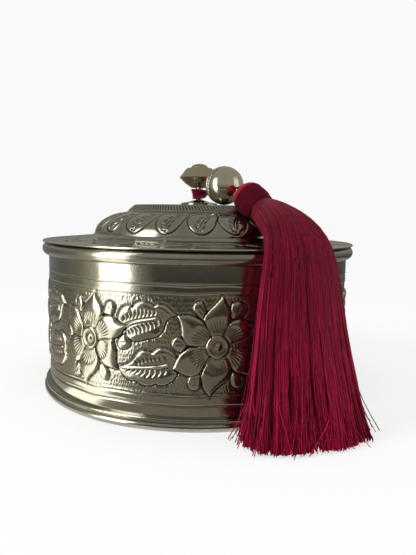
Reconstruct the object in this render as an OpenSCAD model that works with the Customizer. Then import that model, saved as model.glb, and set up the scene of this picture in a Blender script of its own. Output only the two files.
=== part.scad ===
// Lidded sweet box: a round drum of tinned copper sheet with a domed lid, a cast
// knob, and a silk tassel that hangs from the knob's neck on a cord with a bead.
// Millimetres, +Z up. The origin is the centre of the circle that the foot stands on.
// Azimuths turn from -Y, the front, towards +X, the right.

/* [Drum] */
// Outside diameter of the drum's wall
drum_d = 154; // [140:1:158]
// Thickness of the drum's sheet
drum_t = 1; // [0.8:0.1:1.4]
// Height from the table to the seat of the lid
drum_h = 73.9; // [66:0.1:80]
// How far the rolled rim stands out from the wall
roll_out = 3.1; // [2.7:0.1:3.2]
// Height of the rolled rim
roll_h = 6.2; // [5.6:0.1:7]
// Diameter of the wire inside the rolled rim
rim_wire_d = 2.2; // [1.6:0.1:2.4]
// Depth of the turned grooves round the wall
groove_depth = 0.35; // [0.2:0.05:0.5]
// Height of the groove above the foot
low_groove_z = 10.2; // [9:0.1:12]
// Height of the groove under the rim
high_groove_z = 60; // [57:0.1:62]
// Distance between the two grooves of each pair
groove_pair = 4; // [3:0.1:5]

/* [Ornament] */
// How far the embossed flowers and leaves stand out from the wall
emboss = 0.7; // [0.4:0.1:0.9]
// Number of flowers round the wall
flowers = 8; // [6:1:8]
// Radius of a flower, to the tips of its petals
flower_r = 19.8; // [17:0.2:20]

/* [Foot and floor] */
// Height of the foot moulding
foot_h = 5.7; // [5.4:0.1:7]
// How far the foot moulding stands out from the wall
foot_out = 3.1; // [2.7:0.1:3.2]
// Height of the floor's underside above the table
floor_z = 2.6; // [2:0.1:4]
// Thickness of the floor sheet
floor_t = 1; // [0.8:0.1:1.6]
// Height of the flange that solders the floor to the wall
floor_flange = 1.4; // [1:0.1:1.8]
// How far the wall's lower edge stays above the table
wall_lift = 0.8; // [0.4:0.1:1]

/* [Lid] */
// How far the lid's brim stands out from the drum's wall
brim_out = 3; // [2.6:0.1:3.1]
// Thickness of the brim at its edge
brim_edge = 1; // [0.8:0.1:1.4]
// Rise of the brim from its edge to the dome
brim_rise = 1.8; // [1:0.1:3]
// Thickness of the lid's sheet
lid_t = 1; // [0.8:0.1:1.4]
// Diameter of the dome where it meets the brim
dome_d = 108.6; // [104:0.2:112]
// Height of the dome's shoulder above its foot
dome_h = 12; // [10:0.1:14]
// Diameter of the circle that the dome's shoulder curves round
dome_core_d = 60; // [56:1:62]
// Diameter of the flat top
top_d = 68.6; // [66:0.2:70]
// Height of the sloping band under the flat top
band_h = 3.7; // [3:0.1:4.5]
// Length of the collar that centres the lid in the drum
collar_h = 8; // [6:0.5:12]
// Thickness of the collar
collar_t = 0.9; // [0.8:0.1:1.4]
// Gap between the collar and the drum
collar_gap = 0.8; // [0.5:0.1:1.2]

/* [Knob] */
// Widest diameter of the knob
knob_d = 21; // [18:0.5:23]
// Height of the knob's head, from its underside to its top
knob_head_h = 12.5; // [11:0.5:14]
// Diameter of the knob's foot
knob_foot_d = 19.2; // [16:0.2:21]
// Height of the knob's foot
knob_foot_h = 2.9; // [2.6:0.1:3.2]
// Diameter of the neck and of the threaded tang under it
neck_d = 3.6; // [3:0.1:3.8]
// Length of the neck between the foot and the head
neck_h = 6.5; // [6.4:0.1:7.5]
// Diameter of the washer under the lid
washer_d = 12; // [9:0.5:16]
// Thickness of the washer
washer_t = 0.8; // [0.6:0.1:1.6]
// Width of the nut across its flats
nut_af = 7; // [6:0.1:10]
// Thickness of the nut
nut_h = 3; // [2:0.1:4]

/* [Cord and bead] */
// Diameter of the cord
cord_d = 1.4; // [1:0.1:1.4]
// Turns of the cord round the knob's neck
cord_turns = 2.25; // [1.25:0.25:2.25]
// Diameter of the bead
bead_d = 19.1; // [18:0.1:19.4]
// Thickness of the bead's sheet
bead_t = 0.9; // [0.6:0.1:1.4]
// How far the bead's seam lies from its middle, towards the knob
bead_seam = 1; // [0:0.1:3]

/* [Tassel] */
// Diameter of the tassel's head
head_d = 15.4; // [13:0.1:15.8]
// Length of the tassel's head, from the cord to the binding's far edge
head_len = 16.4; // [15:0.1:17]
// Length of the satin cap along the head
cap_len = 6; // [5:0.1:7]
// Thickness of the head's cover
cover_t = 0.6; // [0.4:0.1:1]
// Width of the binding at the neck
binding_w = 1.3; // [1:0.1:2]
// Diameter of the neck under the binding
tassel_neck_d = 12.6; // [11:0.1:13]
// Half width of the skirt where it passes the brim
skirt_w = 19.4; // [17:0.2:21]
// Half thickness of the skirt where it passes the brim
skirt_t = 6.8; // [5.6:0.1:8]
// Half width of the skirt at its lower end
skirt_spread = 27.4; // [21:0.2:32]
// Half thickness of the skirt at its lower end
skirt_depth = 15; // [10:0.5:16]
// Height of the skirt's lower end above the table
skirt_hem = 0.6; // [0.5:0.1:8]

/* [Hidden] */
$fn = 96;

// Clearances
fit = 0.05;                         // a wire or a tang in its hole
run_gap = 0.3;                      // between pieces that move past each other
soft_gap = 0.4;                     // between the tassel and what it lies on

// Drum
drum_r = drum_d / 2;
drum_in = drum_r - drum_t;
roll_r = drum_r + roll_out;
roll_z = drum_h - roll_h / 2;
wire_r = drum_r + (roll_out - drum_t) / 2;
arc_steps = 12;

// Ornament, in the flat: across it and up it, with flowers round their own middles and the
// pair of leaves round the middle between two flowers
ornament_z = (low_groove_z + high_groove_z) / 2;
ornament_edge = groove_pair + 0.6;  // from the outer grooves to the ornament
front_flower = -36.7;               // azimuths of the two flowers in front
next_flower = 6.3;
other_step = (360 - next_flower + front_flower) / (flowers - 1);
boss_r = 4.4;
boss_h = 0.4;                       // over the petals
PETAL_TURNS = [20, 81, 141, 206, 263, 322];
PETAL = [[0.15, 0.1], [0.35, 0.23], [0.52, 0.275], [0.7, 0.22], [0.86, 0.11], [1, 0.01]];
UPPER_LEAF = [[-13.7, 10.8], [-12.6, 13.4], [-10.2, 15.3], [-7.2, 14.9], [-4.6, 16.7], [-1.5, 17.5],
              [2.6, 16], [7.4, 16.2], [11.8, 12], [7.6, 9.2], [3.6, 3.1], [-4.4, 1.1], [-9.9, 2.8],
              [-8.9, 6.8]];
LOWER_LEAF = [[-12.9, -10.4], [-6.6, -7.2], [-4.4, -3.9], [-1.6, -2.7], [2.2, -4.1], [4.4, -1.9],
              [7.1, -1], [12.2, -4.2], [13.1, -7.2], [10.4, -10.8], [12, -12.6], [6.4, -16.7],
              [-2.3, -17.1], [-11.4, -13.6]];

// Lid
brim_r = drum_r + brim_out;
dome_r = dome_d / 2;
dome_core_r = dome_core_d / 2;
top_r = top_d / 2;
seat_in = drum_in - 2;              // inner edge of the brim's flat underside
brim_flare = 3.7;                   // width of the hollow between brim and dome
flare_rise = 1.3;                   // height of that hollow
dome_z = drum_h + brim_edge + brim_rise + flare_rise;
shoulder_r = top_r + band_h;        // where the sloping band leaves the dome
shoulder_z = dome_height(shoulder_r);
top_z = shoulder_z + band_h;
collar_r = drum_in - collar_gap;
tang_hole_r = neck_d / 2 + 2 * fit;

// Knob
neck_r = neck_d / 2;
knob_r = knob_d / 2;
knob_foot_r = knob_foot_d / 2;
foot_top_z = top_z + knob_foot_h;
head_z = foot_top_z + neck_h;       // underside of the knob's head
tang_z = top_z - lid_t - washer_t - nut_h - 1;

// Cord round the neck: from under the head down to just above the foot
coil_top_z = head_z - cord_d / 2 - run_gap - 0.1;
coil_low_z = foot_top_z + cord_d / 2 + run_gap + 0.2;
coil_r = neck_r + run_gap + cord_d / 2 + 0.1;
coil_flare = 0.9;                   // how much wider the top turn is
coil_end = 207;                     // angle from +X at which the cord leaves the neck
coil_rings = 24;                    // rings in each turn
cord_sides = 6;

// Bead, on the flat top, with its hole along the cord
bead_r = bead_d / 2;
bead_at = [12.5, -18, top_z + run_gap + bead_r];
bead_az = 45;
bead_dip = 9;
bead_hole_r = cord_d / 2 + run_gap;

// Tassel head: from where the cord enters it, along its own axis
head_at = [20.1, -29.8, top_z + 6.7];
head_az = 40;
head_dip = 32;
head_r = head_d / 2;
net_end = head_len - binding_w;
knot_r = 2.3;
knot_s = 10.6;                      // how far the knot lies inside the head
socket_r = 4.6;
socket_len = 3.4;

// The cord between the neck and the head, held all the way, as chosen points
LEAD = [[-1.4, -3.8, coil_low_z], [0.8, -6, coil_low_z + 0.4], [3.2, -8, coil_low_z + 1.2],
        [4.6, -9, coil_low_z + 2.8], [4.8, -9.6, coil_low_z + 4.8],
        [5, -10.4, coil_low_z + 6.2]];
LEAD_TO_HEAD = [[19.6, -27.2, top_z + 8]];

// Skirt stations: azimuth, distance from the axis, height, half width, half
// thickness, azimuth that the section faces, lean of the section from level
brim_top_z = drum_h + brim_edge;
function over_brim(az, half_w, half_t, face, lean) =
    [az, brim_r + (half_t + soft_gap) * cos(lean), brim_top_z + (half_t + soft_gap) * sin(lean),
     half_w, half_t, face, lean];
function hanging(share) =
    let (half_t = skirt_t + (skirt_depth - skirt_t) * pow(share, 1.4))
    [28 - 0.6 * share, roll_r + 2 * soft_gap + half_t, hang_z + (skirt_hem - hang_z) * share,
     skirt_w + (skirt_spread - skirt_w) * share, half_t, 27 - 7 * share, 0];
hang_z = drum_h - 7.9;              // where the skirt starts to hang straight down
hang_steps = 5;
neck_end = head_at + (head_len + fit) * axis_dir(head_az, head_dip)
    + 1.1 * axis_dir(head_az, head_dip - 90);
STATIONS = [
    [atan2(neck_end[0], -neck_end[1]), norm([neck_end[0], neck_end[1]]), neck_end[2],
     head_r - 0.6, head_r - 2.3, head_az, 90 - head_dip],
    [33.2, 58, top_z - 3.4, 10.8, 7.4, 37, 62],
    [31.6, 68.5, top_z - 7.4, 14.2, 7.2, 34, 66],
    over_brim(29.8, skirt_w - 3.2, skirt_t - 0.4, 31, 66),
    over_brim(29.1, skirt_w - 2.2, skirt_t - 0.6, 30, 44),
    over_brim(28.6, skirt_w - 1, skirt_t - 0.6, 29, 20),
    for (i = [0:hang_steps]) hanging(i / hang_steps)
];
skirt_sides = 28;
skirt_square = 0.8;                 // under 1 makes the section fuller than an ellipse

// Height of the dome's outside at a distance from the axis
function dome_height(r) =
    dome_z + dome_h * sqrt(max(0, 1 - pow((r - dome_core_r) / (dome_r - dome_core_r), 2)));

// Direction of an axis with this azimuth and dip
function axis_dir(az, dip) = [sin(az) * cos(dip), -cos(az) * cos(dip), -sin(dip)];

// Points of an arc of an ellipse
function arc(centre, rx, ry, from, to, steps) =
    [for (i = [0:steps]) let (a = from + (to - from) * i / steps)
        centre + [rx * cos(a), ry * sin(a)]];

function reversed(pts) = [for (i = [len(pts) - 1:-1:0]) pts[i]];

function unit(v) = v / norm(v);

// The line that lies a distance below a profile that runs outwards
function below(pts, distance) =
    [for (i = [0:len(pts) - 1])
        let (t = unit(pts[min(i + 1, len(pts) - 1)] - pts[max(i - 1, 0)]))
        pts[i] + distance * [t[1], -t[0]]];

// A profile turned round the Z axis
module turned(pts) { rotate_extrude() polygon(pts); }

// Puts a child's +Z axis along an azimuth and dip, from a point
module along(p, az, dip) { translate(p) rotate([0, 90 + dip, az - 90]) children(); }

// Outside of the lid, from the tang's hole to the brim's edge
function lid_outside(hole_r) = concat(
    [[hole_r, top_z], [top_r - 0.8, top_z], [top_r, top_z - 0.3]],
    [for (i = [0:arc_steps])
        let (a = acos((shoulder_r - dome_core_r) / (dome_r - dome_core_r)) * (1 - i / arc_steps))
        [dome_core_r + (dome_r - dome_core_r) * cos(a), dome_z + dome_h * sin(a)]],
    [[dome_r + 0.5, dome_z - 0.6], [dome_r + 1.6, dome_z - 1.1],
     [dome_r + brim_flare, dome_z - flare_rise], [brim_r - 0.4, brim_top_z]]);

// Room that the lid takes from the soft pieces that lie on it
module lid_room() {
    over = below(lid_outside(0), -soft_gap);
    turned(concat([[0, 0]], [[0, over[0][1]]], over, [[brim_r + soft_gap, 0]]));
}

module body_wall() {
    color("darkkhaki") {
        difference() {
            turned(concat(
                [[drum_in, wall_lift], [drum_r, wall_lift]],
                grooved(low_groove_z), grooved(low_groove_z + groove_pair),
                grooved(high_groove_z - groove_pair), grooved(high_groove_z),
                arc([drum_r, roll_z], roll_out, roll_h / 2, -90, 65, arc_steps),
                [[drum_r + roll_out * cos(65), drum_h], [drum_in, drum_h]]));
            rotate_extrude() translate([wire_r, roll_z]) circle(r = rim_wire_d / 2 + fit);
        }
        ornament();
    }
}

// The embossed flowers, and a pair of leaves after each
module ornament() {
    root = drum_t / 2;                  // how deep the ornament is rooted in the wall
    low = low_groove_z + ornament_edge;
    high = high_groove_z - ornament_edge;
    intersection() {
        for (i = [0:flowers - 1]) {
            on_wall(flower_az(i)) for (a = PETAL_TURNS) rotate(a) petal();
            on_wall((flower_az(i) + flower_az(i + 1)) / 2) {
                polygon(UPPER_LEAF);
                polygon(LOWER_LEAF);
            }
        }
        turned([[drum_r - root, low], [drum_r + emboss, low], [drum_r + emboss, high],
            [drum_r - root, high]]);
    }
    for (i = [0:flowers - 1]) rotate([0, 0, flower_az(i)]) translate([0, root - drum_r, ornament_z])
        rotate([90, 0, 0]) cylinder(r = boss_r, h = root + emboss + boss_h);
}

// Azimuth of a flower, where the last is followed by the first again
function flower_az(i) =
    i == 0 ? front_flower : next_flower + other_step * (i - 1);

// A flat shape made thick enough to pass through the wall, facing out at an azimuth
module on_wall(az) {
    reach = flower_r * flower_r / drum_r;
    rotate([0, 0, az]) translate([0, reach - drum_r, ornament_z]) rotate([90, 0, 0])
        linear_extrude(reach + 2 * emboss) children();
}

// A petal that points along +X from its flower's middle
module petal() {
    polygon(flower_r * concat(PETAL, [for (p = reversed(PETAL)) [p[0], -p[1]]]));
}

// One groove turned in the wall
function grooved(z) = [[drum_r, z - 0.5], [drum_r - groove_depth, z], [drum_r, z + 0.5]];

module rim_wire() {
    color("dimgray") rotate_extrude() translate([wire_r, roll_z]) circle(r = rim_wire_d / 2);
}

module floor_plate() {
    color("tan") turned([[0, floor_z], [drum_in - floor_t, floor_z],
        [drum_in - floor_t, floor_z - floor_flange], [drum_in, floor_z - floor_flange],
        [drum_in, floor_z + floor_t], [0, floor_z + floor_t]]);
}

module foot_ring() {
    low_bead = foot_h * 0.29;
    high_bead = foot_h * 0.15;
    color("darkkhaki") turned(concat(
        [[drum_r, 0], [drum_r + foot_out - low_bead * 0.6, 0]],
        arc([drum_r + foot_out - low_bead, low_bead], low_bead, low_bead, -60, 80, 8),
        arc([drum_r + foot_out - low_bead, foot_h - high_bead - 0.5], high_bead, high_bead, -70, 80, 6),
        [[drum_r, foot_h]]));
}

module lid_shell() {
    outside = lid_outside(tang_hole_r);
    inner = [for (p = below(outside, lid_t)) if (p[0] < seat_in - brim_flare) p];
    color("khaki") turned(concat(outside,
        [[brim_r, brim_top_z - 0.3], [brim_r, drum_h + 0.2], [brim_r - 0.2, drum_h], [seat_in, drum_h]],
        reversed(concat([[tang_hole_r, top_z - lid_t]], [for (p = inner) if (p[0] > top_r / 2) p]))));
}

module lid_collar() {
    color("tan") turned([[collar_r - collar_t, drum_h - collar_h], [collar_r, drum_h - collar_h],
        [collar_r, drum_h], [collar_r - collar_t, drum_h]]);
}

module knob_base() {
    edge_h = knob_foot_h * 0.48;
    color("goldenrod") difference() {
        turned([[0, top_z], [knob_foot_r - 0.3, top_z], [knob_foot_r, top_z + 0.4],
            [knob_foot_r, top_z + edge_h - 0.3], [knob_foot_r - 0.4, top_z + edge_h],
            [knob_foot_r * 0.62, top_z + knob_foot_h * 0.66],
            [neck_r + 1.3, foot_top_z - 0.1], [neck_r + 1, foot_top_z], [0, foot_top_z]]);
        translate([0, 0, top_z - 1]) cylinder(r = neck_r + fit, h = knob_foot_h + 2);
    }
}

module knob() {
    h = knob_head_h;
    color("goldenrod") turned(concat(
        [[0, tang_z], [neck_r, tang_z], [neck_r, head_z], [knob_r * 0.4, head_z],
         [knob_r * 0.72, head_z + h * 0.18], [knob_r * 0.96, head_z + h * 0.38],
         [knob_r, head_z + h * 0.42], [knob_r * 0.97, head_z + h * 0.46],
         [knob_r * 0.83, head_z + h * 0.6], [knob_r * 0.7, head_z + h * 0.76],
         [knob_r * 0.62, head_z + h * 0.81]],
        arc([0, head_z + h * 0.82], knob_r * 0.43, h * 0.18, 0, 90, 8)));
}

module knob_washer() {
    color("silver") difference() {
        translate([0, 0, top_z - lid_t - washer_t]) cylinder(d = washer_d, h = washer_t);
        translate([0, 0, top_z - lid_t - washer_t - 1]) cylinder(r = tang_hole_r, h = washer_t + 2);
    }
}

module knob_nut() {
    nut_z = top_z - lid_t - washer_t - nut_h;
    color("gray") difference() {
        translate([0, 0, nut_z]) cylinder(d = nut_af / cos(30), h = nut_h, $fn = 6);
        translate([0, 0, nut_z - 1]) cylinder(r = neck_r + fit, h = nut_h + 2);
    }
}

// The turns round the neck, from the top one down to where the cord leaves
COIL = [for (i = [0:cord_turns * coil_rings])
    let (share = i / (cord_turns * coil_rings),
         a = coil_end - 360 * cord_turns * (1 - share),
         r = coil_r + coil_flare * pow(1 - share, 2))
    [r * cos(a), r * sin(a), coil_top_z + (coil_low_z - coil_top_z) * share]];
CORD = concat(COIL, LEAD,
    [bead_at - (bead_r + 0.6) * axis_dir(bead_az, bead_dip),
     bead_at + (bead_r + 0.6) * axis_dir(bead_az, bead_dip)],
    LEAD_TO_HEAD,
    [head_at, head_at + (knot_s - knot_r) * axis_dir(head_az, head_dip)]);

// Least gap between the cord's turns, measured between points over half a turn apart
coil_gap = min([for (i = [0:len(COIL) - 1], j = [i + coil_rings / 2:len(COIL) + len(LEAD) - 1])
    norm(CORD[i] - CORD[j])]) - cord_d;
echo(coil_gap = coil_gap);

function tangent(pts, i) = unit(pts[min(i + 1, len(pts) - 1)] - pts[max(i - 1, 0)]);

// A tube of round section swept along points without twist
module tube(pts, r, sides) {
    last = len(pts) - 1;
    first_side = unit(cross(tangent(pts, 0), [0, 0, 1]));
    side_dirs = [for (i = 0, n = first_side; i <= last; i = i + 1,
        n = let (t = tangent(pts, min(i, last))) unit(n - t * (n * t))) n];
    rings = [for (i = [0:last]) let (t = tangent(pts, i), n = side_dirs[i], b = cross(t, n))
        for (k = [0:sides - 1]) pts[i] + r * (n * cos(360 * k / sides) + b * sin(360 * k / sides))];
    lofted(rings, sides, last + 1);
}

// A closed solid from rings of points, each ring counter-clockwise about the way it runs
module lofted(points, sides, count) {
    polyhedron(points = points, faces = concat(
        [for (k = [1:sides - 2]) [0, k, k + 1]],
        [for (k = [1:sides - 2]) let (b = (count - 1) * sides) [b, b + k + 1, b + k]],
        [for (i = [0:count - 2], k = [0:sides - 1])
            [i * sides + k, (i + 1) * sides + k, i * sides + (k + 1) % sides]],
        [for (i = [0:count - 2], k = [0:sides - 1])
            [i * sides + (k + 1) % sides, (i + 1) * sides + k, (i + 1) * sides + (k + 1) % sides]]));
}

module neck_cord() { color("crimson") tube(CORD, cord_d / 2, cord_sides); }

module cord_knot() {
    color("crimson") translate(head_at + knot_s * axis_dir(head_az, head_dip)) sphere(r = knot_r);
}

// Outside of the head's cover: distance along the head, radius
function cap_line(inset) = [for (i = [0:arc_steps]) let (a = 10 + 80 * i / arc_steps)
    [(head_r - inset) * sin(a), cap_len - (cap_len - inset) * cos(a)]];
function net_line(inset) = [[head_r - inset, cap_len + 3], [head_r - 0.1 - inset, net_end - 3],
    [head_r - 0.35 - inset, net_end - 1.2], [head_r - 0.8 - inset, net_end]];

// A piece of the head, in place and clear of the lid
module on_head() {
    difference() {
        along(head_at, head_az, head_dip) children();
        lid_room();
    }
}

module head_core() {
    neck_r_in = tassel_neck_d / 2;
    color("burlywood") on_head() difference() {
        turned(concat([[0, cover_t]], cap_line(cover_t), net_line(cover_t),
            [[neck_r_in, net_end], [neck_r_in, head_len], [0, head_len]]));
        translate([0, 0, -1]) cylinder(r = cord_d / 2 + fit, h = knot_s);
        translate([0, 0, knot_s]) sphere(r = knot_r + fit);
        translate([0, 0, knot_s]) cylinder(r = knot_r + fit, h = head_len);
        translate([0, 0, head_len - socket_len]) cylinder(r = socket_r, h = socket_len + 1);
    }
}

module satin_cap() {
    color("mediumvioletred") on_head() turned(concat(cap_line(0), reversed(cap_line(cover_t))));
}

module net_cover() {
    rim = [[head_r, cap_len]];
    rim_in = [[head_r - cover_t, cap_len]];
    color("maroon") on_head()
        turned(concat(rim, net_line(0), reversed(concat(rim_in, net_line(cover_t)))));
}

module neck_binding() {
    inner_r = tassel_neck_d / 2;
    mid = net_end + binding_w / 2;
    color("darkred") on_head() turned(concat([[inner_r, net_end]],
        arc([inner_r, mid], head_r - 0.9 - inner_r, binding_w / 2, -90, 90, 6), [[inner_r, head_len]]));
}

module fringe_heading() {
    color("indianred") along(head_at, head_az, head_dip)
        translate([0, 0, head_len - socket_len + 0.1]) cylinder(r = socket_r - 2 * fit, h = socket_len - 0.1);
}

// One section of the skirt: a full ellipse across the way that the strands run
function full(c) = sign(c) * pow(abs(c), skirt_square);
function section(st) =
    let (mid = [st[1] * sin(st[0]), -st[1] * cos(st[0]), st[2]],
         across = [cos(st[5]), sin(st[5]), 0],
         out = [sin(st[5]) * cos(st[6]), -cos(st[5]) * cos(st[6]), sin(st[6])])
    [for (k = [0:skirt_sides - 1]) let (a = 360 * k / skirt_sides)
        mid + across * st[3] * full(cos(a)) - out * st[4] * full(sin(a))];

module skirt() {
    color("crimson") difference() {
        lofted([for (st = STATIONS) each section(st)], skirt_sides, len(STATIONS));
        lid_room();
    }
}

// Half of the hollow bead, between two angles from its axis
module bead_shell(from, to) {
    along(bead_at, bead_az, bead_dip) turned(concat(
        arc([0, 0], bead_r, bead_r, from, to, 16),
        arc([0, 0], bead_r - bead_t, bead_r - bead_t, to_inner(to), to_inner(from), 16)));
}

// The angle on the bead's inner wall that lies level with an angle on its outside
function to_inner(a) = abs(a) > 60
    ? sign(a) * acos(bead_hole_r / (bead_r - bead_t))
    : asin(bead_r * sin(a) / (bead_r - bead_t));

hole_angle = acos(bead_hole_r / bead_r);
seam_angle = -asin(bead_seam / bead_r);

module bead_near_half() { color("lightgray") bead_shell(-hole_angle, seam_angle); }

module bead_far_half() { color("whitesmoke") bead_shell(seam_angle, hole_angle); }

body_wall();
rim_wire();
floor_plate();
foot_ring();
lid_shell();
lid_collar();
knob_base();
knob();
knob_washer();
knob_nut();
neck_cord();
cord_knot();
head_core();
satin_cap();
net_cover();
neck_binding();
fringe_heading();
skirt();
bead_near_half();
bead_far_half();
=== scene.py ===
"""Looks of a round sweet box: embossed tinned copper, a cast knob and a silk tassel.

The drum's wall and the lid are turned profiles with their chased ornament as real relief,
the bead is two engraved shells, and the tassel is made of single threads. Everything is
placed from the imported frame. Ornament is drawn in millimetres and turned into metres where
its mesh is made.
"""

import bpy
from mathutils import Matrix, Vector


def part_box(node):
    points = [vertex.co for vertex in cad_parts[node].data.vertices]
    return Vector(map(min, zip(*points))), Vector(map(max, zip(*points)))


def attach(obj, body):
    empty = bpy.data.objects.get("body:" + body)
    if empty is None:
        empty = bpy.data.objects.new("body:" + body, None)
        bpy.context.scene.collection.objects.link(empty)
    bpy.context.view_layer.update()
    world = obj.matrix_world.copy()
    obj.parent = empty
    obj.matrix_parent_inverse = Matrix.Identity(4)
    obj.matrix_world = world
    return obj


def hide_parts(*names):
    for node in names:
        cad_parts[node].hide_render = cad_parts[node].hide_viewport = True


bl_info = {
    "name": "Embossed sweet box",
    "version": (1, 0, 0),
    "blender": (4, 5, 0),
    "location": "View3D > Sidebar > Sweet box",
    "description": "Dresses the frame of a round sweet box with its metal, ornament and tassel",
    "category": "Object",
}

import math

import bpy
import numpy as np
from mathutils import Matrix, Vector

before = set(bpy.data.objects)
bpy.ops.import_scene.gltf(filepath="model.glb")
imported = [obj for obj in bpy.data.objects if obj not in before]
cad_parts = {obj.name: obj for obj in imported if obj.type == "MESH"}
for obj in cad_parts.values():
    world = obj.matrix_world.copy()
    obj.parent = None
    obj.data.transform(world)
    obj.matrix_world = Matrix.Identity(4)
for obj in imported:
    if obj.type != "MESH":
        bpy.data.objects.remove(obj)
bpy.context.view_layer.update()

MM = 0.001


def node_mm(node):
    """Lowest and highest corner of a CAD node, in millimetres."""
    low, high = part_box(node)
    return np.array(low) / MM, np.array(high) / MM


WALL_FOOT_Z = node_mm("body_wall")[0][2]
ROLL_R, _, SEAT_Z = node_mm("body_wall")[1]    # outside of the rolled rim, and its top
BRIM_R = node_mm("lid_shell")[1][0]            # outside of the lid
COLLAR_R = node_mm("lid_collar")[1][0]         # outside of the ring under the brim
TOP_Z = node_mm("knob_base")[0][2]             # the lid's flat top
FOOT_TOP_Z = node_mm("knob_base")[1][2]        # top of the knob's foot
HEM_Z = node_mm("skirt")[0][2]                 # lowest ends of the threads


# ---------------------------------------------------------------- sizes and colours


class SweetBoxMetal(bpy.types.PropertyGroup):
    """Sizes of the drum and the lid, and the colours of their metal"""

    wall_radius: bpy.props.FloatProperty(
        name="Wall radius", description="Outside radius of the drum's plain wall",
        default=77 * MM, min=60 * MM, max=79 * MM, unit="LENGTH")
    wall_sheet: bpy.props.FloatProperty(
        name="Wall sheet", description="Thickness of the drum's sheet",
        default=1 * MM, min=0.6 * MM, max=1.4 * MM, unit="LENGTH")
    relief: bpy.props.FloatProperty(
        name="Relief height", description="How far the embossed flowers stand out",
        default=0.8 * MM, min=0.2 * MM, max=1.6 * MM, unit="LENGTH")
    flower_radius: bpy.props.FloatProperty(
        name="Flower radius", description="From a flower's middle to the tips of its petals",
        default=20 * MM, min=12 * MM, max=21 * MM, unit="LENGTH")
    flowers: bpy.props.IntProperty(
        name="Flowers", description="Flowers round the drum", default=8, min=4, max=10)
    lid_leaves: bpy.props.IntProperty(
        name="Leaves on the dome", description="Engraved leaves round the dome",
        default=21, min=12, max=24)
    tin: bpy.props.FloatVectorProperty(
        name="Tin", description="Colour of the bare tin",
        subtype="COLOR", size=3, default=(0.415, 0.41, 0.36), min=0, max=1)
    # Colour of the stains, and of the hollows, where it is patina and partly painted shade
    patina_and_shade: bpy.props.FloatVectorProperty(
        name="Patina", description="Colour of the dark hollows",
        subtype="COLOR", size=3, default=(0.035, 0.030, 0.021), min=0, max=1)
    cast: bpy.props.FloatVectorProperty(
        name="Cast knob", description="Colour of the cast knob",
        subtype="COLOR", size=3, default=(0.54, 0.49, 0.35), min=0, max=1)
    plate: bpy.props.FloatVectorProperty(
        name="Bead plate", description="Colour of the polished bead",
        subtype="COLOR", size=3, default=(0.66, 0.63, 0.53), min=0, max=1)


class SweetBoxTassel(bpy.types.PropertyGroup):
    """Sizes and colours of the silk"""

    strands: bpy.props.IntProperty(
        name="Strands", description="Threads in the skirt", default=5200, min=400, max=6000)
    strand_radius: bpy.props.FloatProperty(
        name="Strand radius", description="Radius of a thread at the hem",
        default=0.23 * MM, min=0.1 * MM, max=0.5 * MM, unit="LENGTH")
    cord_radius: bpy.props.FloatProperty(
        name="Cord radius", description="Radius of the twisted cord",
        default=0.74 * MM, min=0.3 * MM, max=1.0 * MM, unit="LENGTH")
    silk: bpy.props.FloatVectorProperty(
        name="Silk", description="Colour of the silk",
        subtype="COLOR", size=3, default=(0.50, 0.008, 0.060), min=0, max=1)
    silk_dark: bpy.props.FloatVectorProperty(
        name="Dark silk", description="Colour of the darkest threads",
        subtype="COLOR", size=3, default=(0.035, 0.0006, 0.004), min=0, max=1)


class SweetBoxStage(bpy.types.PropertyGroup):
    """Camera and light"""

    camera_distance: bpy.props.FloatProperty(
        name="Camera distance", description="From the box's axis to the lens, along the floor",
        default=294.3 * MM, min=0.15, max=1, unit="LENGTH")
    camera_height: bpy.props.FloatProperty(
        name="Camera height", description="Height of the lens above the table",
        default=88.25 * MM, min=0.02, max=0.5, unit="LENGTH")
    backdrop: bpy.props.FloatVectorProperty(
        name="Backdrop", description="Colour of the floor and the backdrop",
        subtype="COLOR", size=3, default=(1.0, 1.0, 1.0), min=0, max=1)


# ---------------------------------------------------------------- small geometry


def smoothstep(value, low, high):
    """From 0 at low to 1 at high, soft at both ends; low may also lie above high."""
    share = np.clip((np.asarray(value, float) - low) / (high - low), 0, 1)
    return share * share * (3 - 2 * share)


def direction(azimuth, dip):
    """The way that an axis points: azimuth from -Y towards +X, dip below level, in degrees."""
    a, d = math.radians(azimuth), math.radians(dip)
    return np.array([math.sin(a) * math.cos(d), -math.cos(a) * math.cos(d), -math.sin(d)])


def through(points, count, closed=False):
    """A smooth line through points, with count samples in each stretch."""
    points = np.asarray(points, float)
    last = len(points) if closed else len(points) - 1
    share = np.linspace(0, 1, count, endpoint=False)[:, None]
    line = []
    for i in range(last):
        if closed:
            p = [points[(i + k) % len(points)] for k in (-1, 0, 1, 2)]
        else:
            p = [points[min(max(i + k, 0), last)] for k in (-1, 0, 1, 2)]
        line.append(0.5 * (2 * p[1] + (p[2] - p[0]) * share
                           + (2 * p[0] - 5 * p[1] + 4 * p[2] - p[3]) * share ** 2
                           + (3 * p[1] - p[0] - 3 * p[2] + p[3]) * share ** 3))
    if not closed:
        line.append(points[-1:])
    return np.concatenate(line)


def depth_inside(outline, u, v):
    """Distance to a closed outline: positive inside it, negative outside."""
    nearest = np.full(u.shape, 1e9)
    inside = np.zeros(u.shape, bool)
    for (ax, ay), (bx, by) in zip(outline, np.roll(outline, -1, 0)):
        dx, dy = bx - ax, by - ay
        share = np.clip(((u - ax) * dx + (v - ay) * dy) / max(dx * dx + dy * dy, 1e-12), 0, 1)
        nearest = np.minimum(nearest, (u - ax - share * dx) ** 2 + (v - ay - share * dy) ** 2)
        crosses = (ay > v) != (by > v)
        if dy:
            inside ^= crosses & (u < ax + (v - ay) * dx / dy)
    return np.where(inside, 1, -1) * np.sqrt(nearest)


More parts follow.
